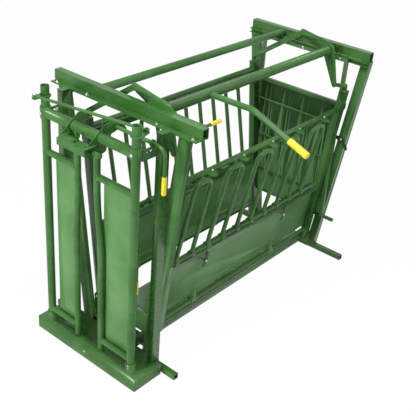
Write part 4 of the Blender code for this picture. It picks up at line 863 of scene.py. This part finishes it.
for side in ("near", "far"):
    sideWelds(side)
for x in weldSet["tiePipe"]["x"]:
    ringWeld("frame", (x, *weldSet["tiePipe"]["place"]), (1, 0, 0), weldSet["tiePipe"]["radius"])
for x in weldSet["shaft"]["x"]:
    ringWeld("squeeze", (x, -lever["shaftOut"], lever["shaftZ"]), (1, 0, 0), weldSet["shaft"]["radius"])
weldBeads = weldTree()
for body, lines in welds.items():
    points, edges = [], []
    for line, closed in lines:
        first = len(points)
        points += [tuple(p) for p in line]
        edges += [(first + i, first + i + 1) for i in range(len(line) - 1)]
        if closed:
            edges.append((len(points) - 1, first))
    mesh = bpy.data.meshes.new("weldLines")
    mesh.from_pydata(points, edges, [])
    grown(readableName(body, "Welds"), mesh, weldBeads, "greenEnamel", body, 80.0)
print("welds run:", sum(len(lines) for lines in welds.values()))


# Camera, floor and light

shot = {"place": (-2.99018, -3.39608, 3.91773), "turn": (60.22763, -4.10448, -49.68580),
        "focal": 768.687, "frame": 416}
light = {"world": 0.27, "key": 200.0, "keyPlace": (-4.6, 0.4, 3.2), "keySize": 1.6,
         "top": 150.0, "topPlace": (0.2, -1.2, 6.0), "topSize": 1.8,
         "side": 20.0, "sidePlace": (3.6, -5.0, 2.6), "sideSize": 1.0, "floor": 0.97, "lift": 0.97}


def standCamera():
    lens = bpy.data.cameras.new("camera")
    lens.sensor_fit = "HORIZONTAL"
    lens.sensor_width = 36.0
    lens.lens = shot["focal"] / shot["frame"] * 36.0
    lens.clip_end = 200.0
    stand = bpy.data.objects.new("camera", lens)
    stand.location = Vector(shot["place"]) + home
    stand.rotation_euler = [math.radians(v) for v in shot["turn"]]
    bpy.context.scene.collection.objects.link(stand)
    bpy.context.scene.camera = stand


def softbox(name, place, size, power, aim):
    lamp = bpy.data.lights.new(name, "AREA")
    lamp.shape = "SQUARE"
    lamp.size = size
    lamp.energy = power
    stand = bpy.data.objects.new(name, lamp)
    stand.location = Vector(place) + home
    stand.rotation_euler = (Vector(place) - Vector(aim)).to_track_quat("Z", "Y").to_euler()
    bpy.context.scene.collection.objects.link(stand)


def paleFloor():
    shell = bmesh.new()
    bmesh.ops.create_circle(shell, cap_ends=True, radius=60.0, segments=64)
    mesh = bpy.data.meshes.new("floor")
    shell.to_mesh(mesh)
    shell.free()
    finish = Finish("paleFloor")
    finish.surface(Base_Color=(light["floor"],) * 3, Roughness=0.9)
    seen = finish.node("LightPath", {}, {}, "Is Camera Ray")
    glossy = finish.node("LightPath", {}, {}, "Is Glossy Ray")
    through = finish.node("LightPath", {}, {}, "Is Transmission Ray")
    share = finish.node("Math", {"operation": "MAXIMUM"}, {0: seen, 1: glossy})
    share = finish.node("Math", {"operation": "MAXIMUM"}, {0: share, 1: through}) * light["lift"]
    glow = finish.node("Emission", {}, {"Color": (1.0, 1.0, 1.0), "Strength": 1.0})
    mixed = finish.node("MixShader", {}, {0: share, 1: Wire(finish, finish.shader.outputs[0]), 2: glow})
    finish.feed(finish.tree.nodes["Material Output"].inputs["Surface"], mixed)
    mesh.materials.append(finish.material)
    made = bpy.data.objects.new("floor", mesh)
    made.location = (0, 0, -0.0005)
    bpy.context.scene.collection.objects.link(made)


def lightWorld():
    world = bpy.data.worlds.new("studio")
    world.use_nodes = True
    bpy.context.scene.world = world
    nodes, link = world.node_tree.nodes, world.node_tree.links.new
    background = nodes["Background"]
    background.inputs["Color"].default_value = (1, 1, 1, 1)
    path = nodes.new("ShaderNodeLightPath")
    either = nodes.new("ShaderNodeMath")
    either.operation = "MAXIMUM"
    link(path.outputs["Is Camera Ray"], either.inputs[0])
    link(path.outputs["Is Glossy Ray"], either.inputs[1])
    strength = nodes.new("ShaderNodeMapRange")
    link(either.outputs[0], strength.inputs["Value"])
    strength.inputs["To Min"].default_value = light["world"]
    strength.inputs["To Max"].default_value = 1.0
    link(strength.outputs[0], background.inputs["Strength"])


standCamera()
paleFloor()
lightWorld()
for name in ("key", "top", "side"):
    softbox(name + "Softbox", light[name + "Place"], light[name + "Size"], light[name], (1.2, 0, 1.0))
bpy.context.scene.view_settings.view_transform = "Standard"
print("camera, floor and light set")
